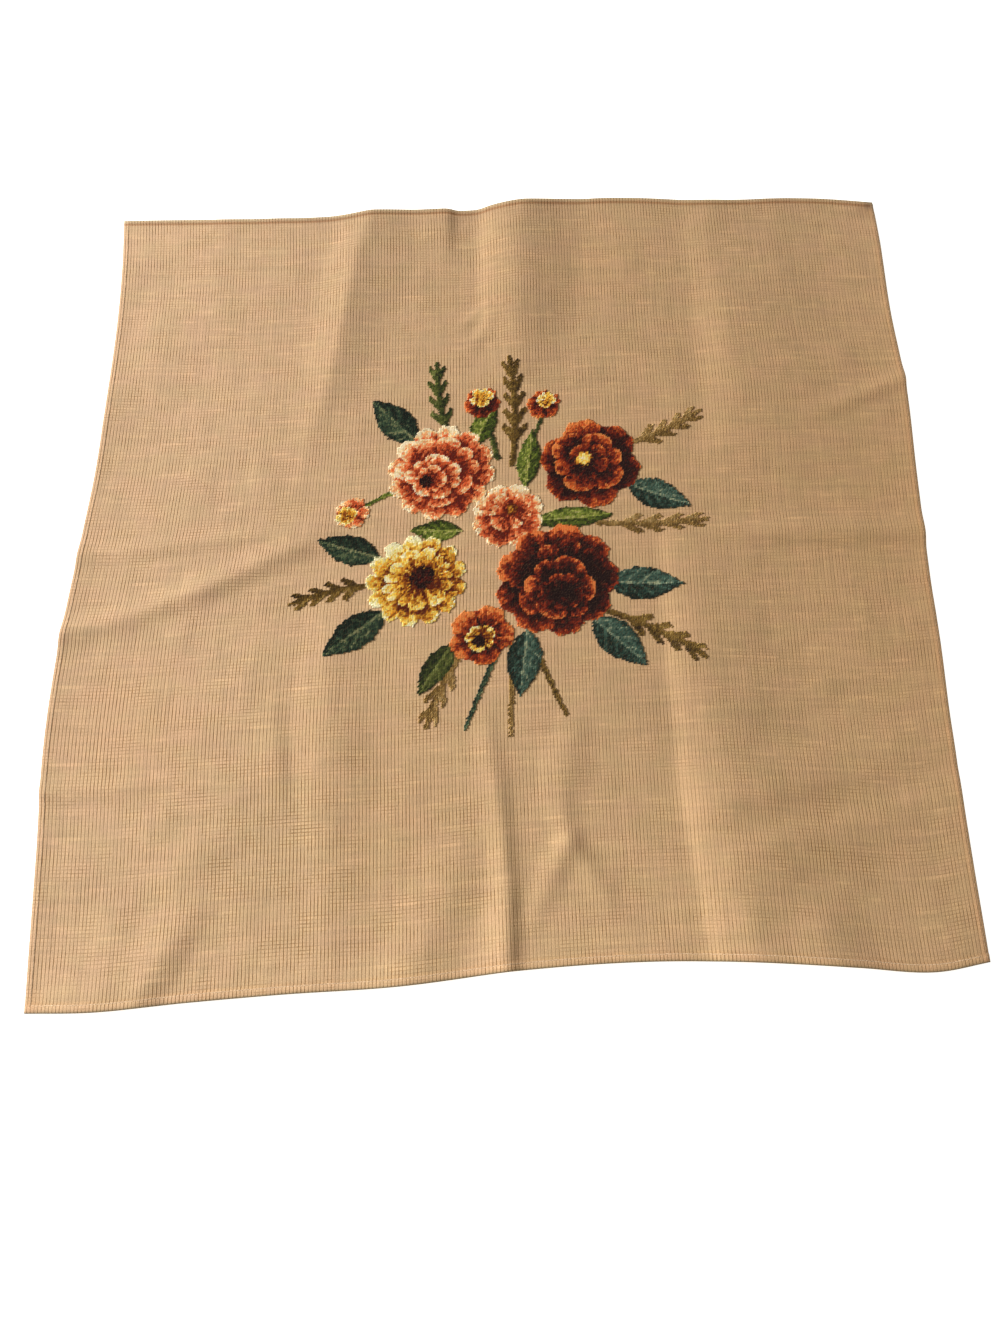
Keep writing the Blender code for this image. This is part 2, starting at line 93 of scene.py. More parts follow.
# Wool stitches, four to a mesh, and how far single ones stray
STITCH = MESH / 2
STITCH_WIDTH = 1.02
STITCH_RISE = 0.95
STITCH_OVERLAP = 0.16
STITCH_SLANT = math.radians(45)
SLANT_STRAY = 0.12
PLACE_STRAY = 0.06
WIDTH_SHARES = (0.86, 1.14)
RISE_SHARES = (0.8, 1.2)
TONE_SHARES = (0.82, 1.18)

# Half the width of a spray's stem, and the share of its length without leaves
STEM_HALF = 1.7
BARE_STEM = 0.22

# Sewing thread of the hem, whose stitches stray along the seam and across it
SEAM_STITCH = 2.5
SEAM_GAP = -0.5
SEAM_WIDTH = 0.75
SEAM_RISE = 0.24
SEAM_STRAY = (0.08, 0.1)
SEAM_SHARES = (0.85, 1.15)
SEAM_TONES = (0.85, 1.1)

# The bouquet: how far out it reaches, how ragged its outlines are and how much its stitches vary
BOUQUET_HALF = 165.0
RAGGED = 0.9
EDGE_COVER = STITCH / 4
GRAIN = 0.62
SCREEN_GAMMA = 2.2
WOOL_PALER = 1.3
BLOOM_PIECES = (
    "bloom_coral", "bloom_maroon", "bloom_gold", "bloom_brick", "bloom_middle", "blooms_small",
)

# Painting of the blooms, in shares of a wool's range of shades: the side that their petals are
# lit from, the streaks that run out over them, and the dark gaps between petals
LIT_FROM = math.radians(125)
STREAKS = 44
STREAK_VARIETY = 0.3
PETAL_STRAY = 0.22
PETAL_REACHES = (0.86, 1.12)
PETAL_FADE = 0.75
PETAL_ROOT = 0.9
PETAL_LIGHT = 0.18
PETAL_VARIETY = 0.34
PETAL_GAP_DARK = 0.5
HEART_RIM_DARK = 0.45
HEART_REACHES = (0.7, 1.2)

# The leaves' form, and the painting of leaves and sprays, in the same shares
LEAF_FORM = 0.85
LEAF_TONE = 0.42
LEAF_SIDE_TONE = 0.13
MARGIN_DARK = 0.34
SIDE_VEINS = 5
VEIN_SLANT = 1.3
VEIN_WIDTH = 0.24
VEIN_PALE = 0.2
MIDRIB_TONE = 0.8
MIDRIB_HALF = STITCH * 0.75
MIDRIB_END = 0.86
SPRAY_TONE = 0.5
SPRAY_SIDE_TONE = 0.16

# The weave: colours of its threads and of the painted shade in its gaps, where in a mesh its gaps
# are, and how open they are
CANVAS_ROSY = (0.605, 0.385, 0.227)
CANVAS_STRAW = (0.575, 0.388, 0.213)
# Painted shade of what lies under the cloth, seen through the gaps between its threads
CANVAS_GAP_SHADE = (0.285, 0.155, 0.062)
GAP_FROM = (0.26, 0.42)
PAIR_PARTED = 0.12
PAIR_SHADE = 0.25
THREAD_STRAY = 0.14
WARP_GAPS = (0.4, 0.8)
WEFT_GAPS = (-0.1, 0.52)
LEAST_WEFT_GAP = 0.08
SINGLE_GAPS = (0.6, 1.3)
# Painted shade, deeper where the gaps of both directions cross
CROSSING_SHADE = 0.7
OPEN_PALER = 0.2
PAIR_TONE = 0.42
PAIR_VARIETY = 0.3
SLUBS_FROM = (0.6, 0.74)
SLUB_PALER = 0.13
FUZZ_SCALE = 3.5
FUZZ_RISE = 0.3
WEAVE_DEPTH = 0.00026

# Noise over the weave: its middle range, its scales along the two directions, to a mesh, and
# layers that keep the warp's noise apart from the weft's
NOISE_SPREAD = (0.3, 0.7)
PATCH_SCALES = (0.09, 0.12)
GAP_SCALES = (7.3, 0.35)
PAIR_SCALES = (1.0, 0.06)
STRAY_SCALES = (0.05, 0.05)
SLUB_SCALES = (0.075, 5.3)
Layers = namedtuple("Layers", "patches gaps pairs")
WARP = Layers(1.0, 3.0, 1.0)
WEFT = Layers(6.0, 4.0, 2.0)
STRAY_LAYER = 9.0
COLOUR_LAYER = 11.0

# Spun strands: the slant of their plies, and what plies and fuzz add to height and tone
PLY_SLANT = 0.35
PLY_RISE = 0.4
STRAND_FUZZ = 0.5

# Light, in watts and metres
LAMP_PLACE = (-2.35, 0.7, 1.36)
LAMP_SIZE = 0.55
LAMP_POWER = 119.0
LAMP_COLOUR = (1.0, 0.99, 0.98)
ROOM_COLOUR = (1.0, 0.93, 0.79)
ROOM_STRENGTH = 0.33
FLOOR_HALF = 6.0
FLOOR_GAP = 0.0002
FLOOR_GLOW = 0.8
FLOOR_GRAIN = 30.0
FLOOR_TONES = (0.9, 0.92)
FLOOR_DEPTH = 0.00002

# The camera, in metres and radians, with its focal length in pixels of the photograph
CAMERA_PLACE = (-0.01531, -0.29413, 0.62402)
CAMERA_YAW = -0.052094
CAMERA_TILT = 0.319976
CAMERA_ROLL = 0.023069
CAMERA_FOCUS = 980.0
PICTURE_HEIGHT = 1333
SENSOR = 36.0

# Corners of the laid canvas on the table
Corner = namedtuple("Corner", "x y")
NEAR_LEFT = Corner(-294.1, -298.1)
NEAR_RIGHT = Corner(287.5, -285.0)
FAR_RIGHT = Corner(303.9, 292.7)
FAR_LEFT = Corner(-288.3, 288.8)

# How far each edge strays outward from the straight line between its corners. Each row is how far
# along the edge, from the left or from the viewer, and how far out.
NEAR_EDGE = (
    (0, 0.5), (40, 2.0), (95, -0.5), (150, -2.2), (225, -3.2), (300, -8.6), (395, -8.9),
    (450, -4.8), (505, 1.0), (553, 5.6), (585, 1.5),
)
FAR_EDGE = (
    (0, 0.0), (75, -1.8), (150, -2.0), (215, 1.5), (265, 1.0), (310, 4.5), (350, 7.5), (400, 7.2),
    (450, 4.2), (540, 5.0), (585, 0.5),
)
LEFT_EDGE = (
    (0, 1.4), (90, 5.8), (170, 10.3), (230, 8.9), (300, 3.5), (370, -2.0), (455, -4.3),
    (540, -2.8), (585, 0.5),
)
RIGHT_EDGE = (
    (0, 1.8), (60, 0.3), (240, 0.2), (340, 2.2), (410, 4.2), (480, 1.0), (555, 1.0), (585, 0.0),
)

# The folds. Each follows its stations, where the crest stands at `height` and runs down to the
# table over `left` on the left-hand side of the walk from the first station to the last, and
# over `right` on the other. The form of each side is 1 for a pressed crease that is steep at
# its crest, 0 for a soft swell, and -1 for a round hump that is steep at its foot.
Station = namedtuple("Station", "x y height left right")
Fold = namedtuple("Fold", "name left_form right_form stations")


def fold_of(name, left_form, right_form, *rows):
    """A fold whose rows are the values of its stations."""
    return Fold(name, left_form, right_form, [Station(*row) for row in rows])


FOLDS = (
    fold_of("near middle ridge", 0.7, 0.7,
        (-5, -294, 4.9, 30, 10), (-4, -240, 4.4, 17, 11), (-6, -203, 3.2, 15, 11),
        (-9, -172, 2.8, 16, 14), (-13, -140, 1.8, 16, 16), (-16, -108, 0.0, 12, 12)),
    fold_of("near middle foot", 0.1, 0.1,
        (-66, -296, 2.8, 40, 28), (-42, -238, 1.6, 32, 22), (-30, -196, 0.0, 20, 16)),
    fold_of("right crease", -0.7, 0.0,
        (153, -291, 4.8, 32, 100), (147, -232, 4.8, 32, 95), (141, -190, 4.6, 31, 90),
        (139, -150, 4.2, 30, 85), (138, -100, 3.6, 30, 80), (136, -48, 2.8, 30, 75),
        (134, -4, 1.4, 26, 60), (134, 34, 0.0, 18, 40)),
    fold_of("right crease lip", -0.8, 0.0,
        (128, -291, 1.8, 11, 75), (125, -240, 1.9, 11, 75), (119, -190, 1.9, 11, 72),
        (118, -130, 1.9, 11, 70), (118, -60, 1.7, 11, 64), (119, -10, 1.0, 11, 48),
        (121, 30, 0.0, 9, 24)),
    fold_of("far right band", -0.4, 0.0,
        (152, 40, 0.0, 20, 50), (170, 84, 1.8, 26, 80), (178, 125, 3.2, 30, 95),
        (179, 180, 3.8, 29, 95), (175, 240, 2.6, 26, 95), (170, 298, 1.2, 22, 90)),
    fold_of("far left ridge", 0.6, 0.6,
        (-138, 76, 0.0, 20, 16), (-130, 112, 1.5, 26, 26), (-120, 155, 3.3, 28, 34),
        (-113, 200, 5.1, 31, 38), (-106, 250, 4.9, 33, 56), (-92, 297, 4.2, 33, 66)),
    fold_of("far middle hump", -0.8, 0.0,
        (10, 128, 0.0, 20, 30), (17, 165, 2.1, 30, 42), (20, 205, 3.7, 34, 50),
        (22, 250, 4.6, 36, 52), (25, 302, 4.6, 36, 54)),
    fold_of("far middle lip", -0.8, 0.0,
        (-2, 165, 0.0, 8, 26), (-2, 200, 1.3, 9, 40), (-1, 250, 1.6, 9, 44), (1, 302, 1.5, 9, 44)),
    fold_of("far middle crease", 0.1, 0.3,
        (17, 140, 0.0, 24, 34), (20, 190, 1.8, 30, 46), (22, 250, 2.0, 32, 50),
        (25, 302, 1.8, 32, 52)),
    fold_of("far edge notch", 0.3, 0.5,
        (-35, 238, 0.0, 26, 7), (-34, 270, 2.4, 34, 7), (-33, 299, 3.0, 36, 7)),
    fold_of("far edge arch", 0.0, 0.0,
        (92, 150, 0.0, 50, 50), (95, 230, 1.4, 80, 90), (98, 304, 2.6, 90, 120)),
    fold_of("crumple, outer line", 0.6, 0.6,
        (-32, 179, 0.0, 7, 9), (-15, 193, 1.5, 7, 9), (-2, 205, 0.0, 7, 9)),
    fold_of("crumple, inner line", 0.6, 0.6,
        (-24, 155, 0.0, 8, 8), (-10, 177, 1.7, 8, 9), (-2, 196, 0.2, 8, 9)),
    fold_of("left crossing ridge", 0.5, 0.5,
        (-303, -59, 2.6, 18, 14), (-250, -45, 2.6, 17, 13), (-200, -25, 3.4, 18, 13),
        (-146, 1, 2.8, 20, 15), (-108, 16, 0.0, 16, 14)),
    fold_of("left upper line", 0.3, 0.3,
        (-296, 0, 1.2, 13, 9), (-215, 8, 1.6, 13, 9), (-160, 14, 1.6, 13, 9),
        (-120, 18, 0.0, 10, 8)),
    fold_of("left low band", -0.6, 0.2,
        (-110, -276, 0.0, 14, 18), (-113, -220, 1.4, 20, 30), (-117, -155, 2.4, 24, 36),
        (-119, -100, 2.2, 24, 38), (-118, -50, 1.2, 22, 32), (-116, -14, 0.0, 16, 16)),
    fold_of("left low groove side", 0.4, 0.4,
        (-143, -190, 0.0, 18, 6), (-150, -145, 1.7, 26, 7), (-156, -90, 0.0, 18, 6)),
    fold_of("near left crease", 0.3, -0.6,
        (-235, -301, 3.1, 34, 16), (-212, -262, 2.5, 28, 16), (-186, -226, 0.0, 18, 11)),
    fold_of("near left corner swell", 0.1, 0.1,
        (-262, -303, 2.6, 34, 24), (-250, -270, 1.8, 30, 22), (-243, -232, 0.0, 20, 16)),
    fold_of("near left bump", 0.0, 0.0,
        (-232, -230, 0.0, 14, 14), (-196, -208, 1.3, 25, 22), (-158, -184, 0.0, 14, 14)),
    fold_of("star crease, left", 0.4, 0.4,
        (4, -272, 0.0, 10, 10), (21, -231, 1.8, 13, 13), (34, -206, 2.8, 14, 14),
        (34, -176, 0.0, 10, 10)),
    fold_of("star crease, right", 0.4, 0.4,
        (70, -264, 0.0, 10, 10), (51, -229, 1.5, 13, 13), (37, -207, 2.4, 13, 13)),
    fold_of("middle streak", -0.7, 0.1,
        (26, -196, 0.0, 10, 14), (35, -160, 2.2, 18, 22), (46, -112, 0.0, 10, 14)),
    fold_of("near right, upper side", 0.1, 0.1,
        (96, -191, 0.4, 28, 15), (190, -174, 1.6, 34, 16), (288, -149, 0.4, 28, 15)),
    fold_of("near right, lower side", 0.2, 0.2,
        (118, -226, 0.4, 15, 28), (162, -213, 1.8, 15, 34), (205, -205, 1.6, 15, 34),
        (292, -177, 0.6, 14, 30)),
    fold_of("near edge wave", 0.0, 0.0,
        (192, -290, 3.8, 34, 40), (190, -264, 1.8, 28, 34), (188, -236, 0.0, 18, 22)),
    fold_of("right rising line", 0.4, 0.4,
        (214, 95, 0.0, 10, 8), (262, 112, 2.0, 14, 10), (308, 131, 2.2, 14, 10)),
    fold_of("right level line", 0.2, 0.2,
        (140, 8, 0.0, 12, 9), (190, 5, 2.8, 20, 12), (240, 3, 3.0, 20, 12), (304, 2, 2.2, 20, 12)),
    fold_of("left level line", 0.2, 0.2,
        (-304, -165, 1.4, 10, 9), (-250, -164, 1.6, 10, 9), (-206, -160, 0.0, 8, 7)),
    fold_of("left far swell", 0.0, 0.0,
        (-294, 112, 1.8, 40, 50), (-240, 175, 1.2, 50, 50), (-190, 252, 0.0, 34, 34)),
    fold_of("right near swell", 0.0, 0.0,
        (296, -80, 1.8, 60, 50), (240, -68, 1.2, 55, 50), (184, -58, 0.0, 36, 36)),
)

# Each side's hem: its width, how far it stands above the single cloth, where its seam runs in from
# the fold, the painted shade on the outer fold, the band's tone, partly its own colour and partly
# painted light, the painted shade along the band's inner edge, and the colour of its thread, one
# pale thread painted darker on the left, far and right sides as painted shade
Hem = namedtuple("Hem", "width rise seam fold_tint band_tint line_tint thread")
HEMS = {
    "near": Hem(
        5.0, 1.0, 4.5, (0.5, 0.56, 0.5), (1.02, 1.0, 1.0), (0.88, 0.84, 0.78), (0.76, 0.54, 0.34),
    ),
    "left": Hem(
        4.0, 0.05, 3.7, (0.84, 0.86, 0.88), (1.16, 1.15, 1.18), (1.0, 0.98, 0.96), (0.56, 0.39, 0.24),
    ),
    "far": Hem(
        3.6, 0.7, 2.8, (0.76, 0.84, 0.78), (0.97, 1.1, 1.15), (0.8, 0.66, 0.56), (0.5, 0.26, 0.14),
    ),
    "right": Hem(
        3.8, 0.1, 1.8, (0.66, 0.68, 0.6), (1.05, 0.99, 0.98), (0.98, 0.95, 0.92), (0.36, 0.24, 0.13),
    ),
}

# Marks, each strongest in its middle. `open` is the share of the gaps between threads that is left.
# The broad ones are painted light and shade for the fall of light over the cloth: painted shade
# makes it darker and warmer on the right, where the weave is also denser, and darker at the far
# side, where it is more open, and painted light makes it paler at the near side. The next three are
# painted shade that darkens the near middle over its folds. The next two are painted shade in the
# pinched far right corner. The rest make the near left corner and patches of the cloth a little
# lighter or darker and change how open the weave is there.
Mark = namedtuple("Mark", "u v radius tint open")
MARKS = (
    Mark(330, 30, 520, (0.88, 0.81, 0.65), 0.68),
    Mark(0, 330, 280, (0.92, 0.92, 0.89), 1.25),
    Mark(10, -340, 370, (1.17, 1.2, 1.2), 1.05),
    Mark(-110, -200, 130, (0.95, 0.94, 0.91), 1.25),
    Mark(60, -110, 150, (0.95, 0.95, 0.96), 1.0),
    Mark(118, -130, 60, (0.94, 0.94, 0.94), 1.0),
    Mark(289, 289, 6, (0.55, 0.56, 0.62), 0.2),
    Mark(286, 284, 10, (0.86, 0.8, 0.74), 0.6),
    Mark(-287, -287, 7, (1.06, 1.0, 0.96), 0.6),
    Mark(-150, -196, 46, (0.94, 0.97, 0.96), 1.3),
    Mark(-236, -120, 60, (1.03, 0.99, 0.97), 1.1),
    Mark(196, -214, 70, (0.97, 0.96, 0.94), 1.2),
    Mark(72, 236, 52, (1.02, 0.99, 0.96), 0.8),
    Mark(-196, 180, 64, (1.02, 1.0, 1.0), 0.8),
    Mark(232, 60, 56, (0.98, 0.98, 0.97), 0.8),
)

# The wool bouquet, in millimetres from the middle of the canvas along its threads, and degrees
Bloom = namedtuple("Bloom", "x y radius petals notch turn")
Leaf = namedtuple("Leaf", "x y length width turn wool")
Spray = namedtuple("Spray", "x y length width turn bend pairs wool")
BLOOMS = (
    Bloom(-46, 60, 38, 12, 0.13, 8),
    Bloom(36, -30, 42, 9, 0.12, 20),
    Bloom(-60, -24, 34, 13, 0.16, 0),
    Bloom(60, 60, 36, 6, 0.16, 12),
    Bloom(2, 22, 25, 8, 0.12, 0),
    Bloom(-15, -68, 22, 5, 0.18, 30),
    Bloom(-18, 116, 13, 5, 0.15, 90),
    Bloom(27, 111, 12, 5, 0.15, 60),
    Bloom(-107, 30, 12, 5, 0.15, 180),
)
LEAVES = (
    Leaf(-64, 84, 50, 25, 132, "pine"),
    Leaf(-86, -6, 46, 22, 160, "pine"),
    Leaf(86, 42, 48, 23, -22, "teal"),
    Leaf(70, -34, 52, 25, -4, "teal"),
    Leaf(60, -60, 50, 25, -46, "teal"),
    Leaf(16, -66, 48, 24, -96, "teal"),
    Leaf(-80, -46, 50, 24, -142, "pine"),
    Leaf(-24, 80, 38, 18, 66, "green"),
    Leaf(14, 44, 46, 17, 84, "green"),
    Leaf(-34, -72, 42, 18, -122, "moss"),
    Leaf(20, 16, 56, 17, 2, "green"),
    Leaf(-30, 12, 36, 16, 176, "green"),
)
SPRAYS = (
    Spray(4, 62, 92, 18, 84, 14, 5, "olive"),
    Spray(84, 74, 64, 17, 16, 22, 4, "tan"),
    Spray(-40, 84, 70, 16, 110, -22, 4, "moss"),
    Spray(-78, 46, 30, 5, 208, 0, 0, "green"),
    Spray(-86, -26, 60, 17, 182, 18, 4, "olive"),
    Spray(70, -56, 74, 17, -20, -20, 4, "olive"),
    Spray(-28, -80, 56, 16, 236, 20, 3, "tan"),
    Spray(-6, 68, 44, 5, 104, 0, 0, "moss"),
    Spray(14, 66, 40, 5, 72, 0, 0, "moss"),
    Spray(64, 12, 78, 15, -6, 14, 4, "tan"),
    Spray(-4, -80, 58, 5, -112, 0, 0, "pine"),
    Spray(6, -78, 64, 6, -92, 0, 0, "tan"),
    Spray(18, -74, 60, 5, -68, 0, 0, "olive"),
)

# Dyed wools in screen colours, each from its darkest shade to its palest
WOOLS = {
    "coral": (
        (116, 34, 16), (176, 68, 32), (216, 104, 56), (240, 144, 88), (250, 188, 130), (254, 226, 178),
        (255, 242, 212),
    ),
    "maroon": ((40, 10, 8), (70, 18, 10), (106, 32, 16), (154, 56, 26), (206, 96, 44), (238, 146, 78)),
    "gold": (
        (110, 44, 12), (166, 94, 22), (214, 150, 44), (242, 194, 72), (252, 222, 114), (254, 242, 172),
        (255, 250, 214),
    ),
    "brick": ((46, 10, 8), (86, 22, 12), (132, 42, 18), (178, 72, 30), (216, 110, 48), (240, 156, 84)),
    "teal": ((26, 40, 32), (40, 60, 50), (58, 84, 72), (78, 106, 92), (112, 134, 114), (168, 174, 142)),
    "pine": ((24, 36, 28), (34, 50, 38), (48, 68, 52), (70, 90, 66), (108, 122, 88), (156, 156, 114)),
    "green": ((50, 58, 22), (74, 88, 30), (100, 116, 42), (132, 146, 58), (166, 172, 84), (196, 192, 118)),
    "olive": ((62, 44, 18), (86, 64, 26), (108, 84, 36), (132, 102, 46), (154, 124, 62), (176, 146, 84)),
    "tan": ((96, 72, 34), (122, 94, 46), (146, 114, 60), (166, 134, 78), (184, 152, 96), (200, 172, 118)),
    "moss": ((36, 44, 22), (52, 62, 28), (70, 80, 36), (92, 100, 46), (116, 122, 62), (142, 146, 84)),
}

# How each bloom is worked. Its whorls of petals go from the outline inward, each shaded from
# `base` at the heart to `rim` at the petals' rims. Its heart stands `off` its middle towards
# `turn`. Reaches are shares of the bloom's radius.
Whorl = namedtuple("Whorl", "wool petals reach turn notch base rim")
Heart = namedtuple("Heart", "wool reach shade off turn")
BLOOM_WHORLS = (
    (
        Whorl("coral", 12, 1.0, 8, 0.13, 0.12, 0.98),
        Whorl("coral", 9, 0.76, 24, 0.14, 0.10, 0.88),
        Whorl("coral", 7, 0.52, 4, 0.16, 0.20, 1.0),
        Whorl("coral", 5, 0.30, 30, 0.2, 0.05, 0.8),
    ),
    (
        Whorl("maroon", 9, 1.0, 20, 0.12, 0.05, 0.92),
        Whorl("maroon", 8, 0.78, 2, 0.16, 0.0, 0.66),
        Whorl("maroon", 6, 0.56, 34, 0.18, 0.05, 0.95),
        Whorl("maroon", 5, 0.36, 10, 0.2, 0.0, 0.62),
    ),
    (
        Whorl("gold", 13, 1.0, 0, 0.16, 0.2, 0.98),
        Whorl("gold", 13, 0.70, 14, 0.2, 0.08, 0.86),
    ),
    (
        Whorl("brick", 6, 1.0, 12, 0.16, 0.1, 0.84),
        Whorl("brick", 6, 0.74, 42, 0.2, 0.0, 1.0),
        Whorl("brick", 5, 0.44, 10, 0.2, 0.05, 0.6),
    ),
    (
        Whorl("coral", 8, 1.0, 0, 0.12, 0.25, 1.0),
        Whorl("coral", 6, 0.6, 20, 0.2, 0.15, 0.85),
    ),
    (
        Whorl("brick", 5, 1.0, 30, 0.18, 0.25, 1.0),
        Whorl("gold", 5, 0.5, 0, 0.2, 0.1, 0.8),
    ),
    (
        Whorl("maroon", 5, 1.0, 90, 0.15, 0.35, 0.8),
        Whorl("gold", 4, 0.66, 60, 0.2, 0.4, 0.95),
    ),
    (
        Whorl("brick", 5, 1.0, 60, 0.15, 0.35, 0.85),
        Whorl("gold", 4, 0.6, 30, 0.2, 0.4, 0.9),
    ),
    (
        Whorl("coral", 5, 1.0, 180, 0.15, 0.3, 0.85),
        Whorl("gold", 4, 0.6, 150, 0.2, 0.5, 1.0),
    ),
)
BLOOM_HEARTS = (
    Heart("maroon", 0.13, 0.1, 0.34, 215),
    Heart("maroon", 0.12, 0.2, 0.4, 290),
    Heart("maroon", 0.24, 0.3, 0.16, 20),
    Heart("gold", 0.17, 0.8, 0.16, 140),
    Heart("gold", 0.18, 0.3, 0.2, 60),
    Heart("maroon", 0.2, 0.1, 0.2, 250),
    Heart("gold", 0.3, 0.9, 0.9, 90),
    Heart("gold", 0.3, 0.8, 0.9, 60),
    Heart("gold", 0.3, 0.9, 0.9, 200),
)


def smooth_curve(rows, at):
    """Values at positions `at` on a smooth curve through rows of position and value."""
    position, value = np.array(rows, float).T
    slope = np.gradient(value, position)
    i = np.clip(np.searchsorted(position, at) - 1, 0, len(position) - 2)
    step = position[i + 1] - position[i]
    f = np.clip((at - position[i]) / step, 0, 1)
    held = value[i] * (1 + 2 * f) * (1 - f) ** 2 + value[i + 1] * f * f * (3 - 2 * f)
    turned = slope[i] * f * (1 - f) ** 2 - slope[i + 1] * f * f * (1 - f)
    return held + step * turned


def laid_out(u, v):
    """Where canvas points u across and v away from the middle lie on the table."""
    s = u / SIDE + 0.5
    t = v / SIDE + 0.5
    corners = (
        (NEAR_LEFT, (1 - s) * (1 - t)),
        (NEAR_RIGHT, s * (1 - t)),
        (FAR_LEFT, (1 - s) * t),
        (FAR_RIGHT, s * t),
    )
    x = sum(corner.x * share for corner, share in corners)
    y = sum(corner.y * share for corner, share in corners)
    x = x + s * s * smooth_curve(RIGHT_EDGE, v + HALF)
    x = x - (1 - s) ** 2 * smooth_curve(LEFT_EDGE, v + HALF)
    y = y + t * t * smooth_curve(FAR_EDGE, u + HALF)
    y = y - (1 - t) ** 2 * smooth_curve(NEAR_EDGE, u + HALF)
    return x, y


def fold_height(fold, x, y):
    """How high one fold lifts the cloth over the points (x, y) of the table."""
    lift = np.zeros_like(x)
    nearest = np.full_like(x, np.inf)
    for start, end in zip(fold.stations, fold.stations[1:]):
        run_x, run_y = end.x - start.x, end.y - start.y
        length = math.hypot(run_x, run_y)
        f = np.clip(((x - start.x) * run_x + (y - start.y) * run_y) / length**2, 0, 1)
        away_x = x - start.x - f * run_x
        away_y = y - start.y - f * run_y
        away = np.hypot(away_x, away_y)
        on_left = run_x * away_y - run_y * away_x > 0
        left = start.left + f * (end.left - start.left)
        right = start.right + f * (end.right - start.right)
        crest = start.height + f * (end.height - start.height)
        form = np.where(on_left, fold.left_form, fold.right_form)
        off = np.clip(away / np.where(on_left, left, right), 0, 1)
        soft = (1 - off) ** 2 * (1 + 2 * off)
        steep = np.where(form > 0, (1 - off) ** 2, 1 - off**2)
        here = crest * (soft + np.abs(form) * (steep - soft))
        lift = np.where(away < nearest, here, lift)
        nearest = np.minimum(away, nearest)
    return lift


def cloth_height(x, y):
    """Height of the cloth's underside over the table."""
    return sum(fold_height(fold, x, y) for fold in FOLDS)


def bloom_outline(bloom):
    """A ring of rounded petals, three points to a petal."""
    points = []
    for petal in range(bloom.petals):
        for phase, reach in ((0.0, 1 - bloom.notch), (0.3, 1.0), (0.7, 1.0)):
            angle = math.radians(bloom.turn) + (petal + phase) / bloom.petals * math.tau
            radius = bloom.radius * reach
            points.append((bloom.x + radius * math.cos(angle), bloom.y + radius * math.sin(angle)))
    return points


def along_middle(motif, bend, walk):
    """Points at shares along and distances across a middle line that bends by `bend` degrees."""
    points = []
    for along, across in walk:
        reach = motif.length * along
        angle = math.radians(motif.turn + bend * along / 2)
        heading = math.radians(motif.turn + bend * along)
        x = motif.x + reach * math.cos(angle) - across * math.sin(heading)
        y = motif.y + reach * math.sin(angle) + across * math.cos(heading)
        points.append((x, y))
    return points


def leaf_outline(leaf):
    """A pointed oval, widest before its middle."""
    sides = (0.14, 0.36, 0.6, 0.82)
    half_widths = [0.5 * leaf.width * math.sin(math.pi * along**LEAF_FORM) for along in sides]
    walk = [(0.0, 0.0)]
    walk += [(along, -wide) for along, wide in zip(sides, half_widths)]
    walk += [(1.0, 0.0)]
    walk += [(along, wide) for along, wide in zip(sides[::-1], half_widths[::-1])]
    return along_middle(leaf, 0, walk)


def spray_outline(spray):
    """A stem with pairs of small slanting leaves, as one outline round a bent middle line."""
    near_side = [(0.0, STEM_HALF)]
    for pair in range(spray.pairs):
        tip = spray.width / 2 * (1 - 0.35 * pair / spray.pairs)
        for phase, wide in ((0.0, STEM_HALF), (0.8, tip), (1.05, 0.85 * tip), (0.6, STEM_HALF)):
            along = BARE_STEM + (1 - BARE_STEM) * (pair + phase) / (spray.pairs + 0.3)
            near_side.append((along, wide))
    walk = [(along, -wide) for along, wide in near_side]
    walk += [(1.0, -STEM_HALF / 2), (1.0, STEM_HALF / 2)]
    walk += near_side[::-1]
    return along_middle(spray, spray.bend, walk)


def depth_inside(outline, x, y):
    """How far inside a closed outline each point lies, and less than 0 outside it."""
    nearest = np.full(x.shape, np.inf)
    inside = np.zeros(x.shape, bool)
    for (ax, ay), (bx, by) in zip(outline, outline[1:] + outline[:1]):
        run_x, run_y = bx - ax, by - ay
        f = ((x - ax) * run_x + (y - ay) * run_y) / (run_x**2 + run_y**2)
        f = np.clip(f, 0, 1)
        nearest = np.minimum(nearest, np.hypot(x - ax - f * run_x, y - ay - f * run_y))
        crosses = (ay > y) != (by > y)
        level = run_y if run_y else 1.0
        inside ^= crosses & (x < ax + (y - ay) / level * run_x)
    return np.where(inside, nearest, -nearest)


def hem_curl(u, v):
    """How far the stiff hem curls up off the table between the corners."""
    curl = np.zeros_like(u)
    for across, along in ((u, v), (v, u)):
        near_hem = np.clip(1 - (HALF - np.abs(across)) / CURL_REACH, 0, 1)
        off_corner = 1 - (np.abs(along) / HALF) ** 8
        curl = np.maximum(curl, HEM_CURL * near_hem**2 * off_corner)
    return curl


def ripples(x, y):
    """Small seeded waves over the cloth, from 0 up."""
    draw = np.random.default_rng(SEED)
    height = np.zeros_like(x)
    for _ in range(RIPPLE_COUNT):
        length = draw.uniform(*RIPPLE_LENGTHS)
        turn = draw.uniform(0, math.pi)
        phase = draw.uniform(0, math.tau)
        along = x * math.cos(turn) + y * math.sin(turn)
        share = length / RIPPLE_LENGTHS[1]
        height += RIPPLE_HEIGHT * share * np.sin(along / length * math.tau + phase)
    return np.maximum(height, 0)


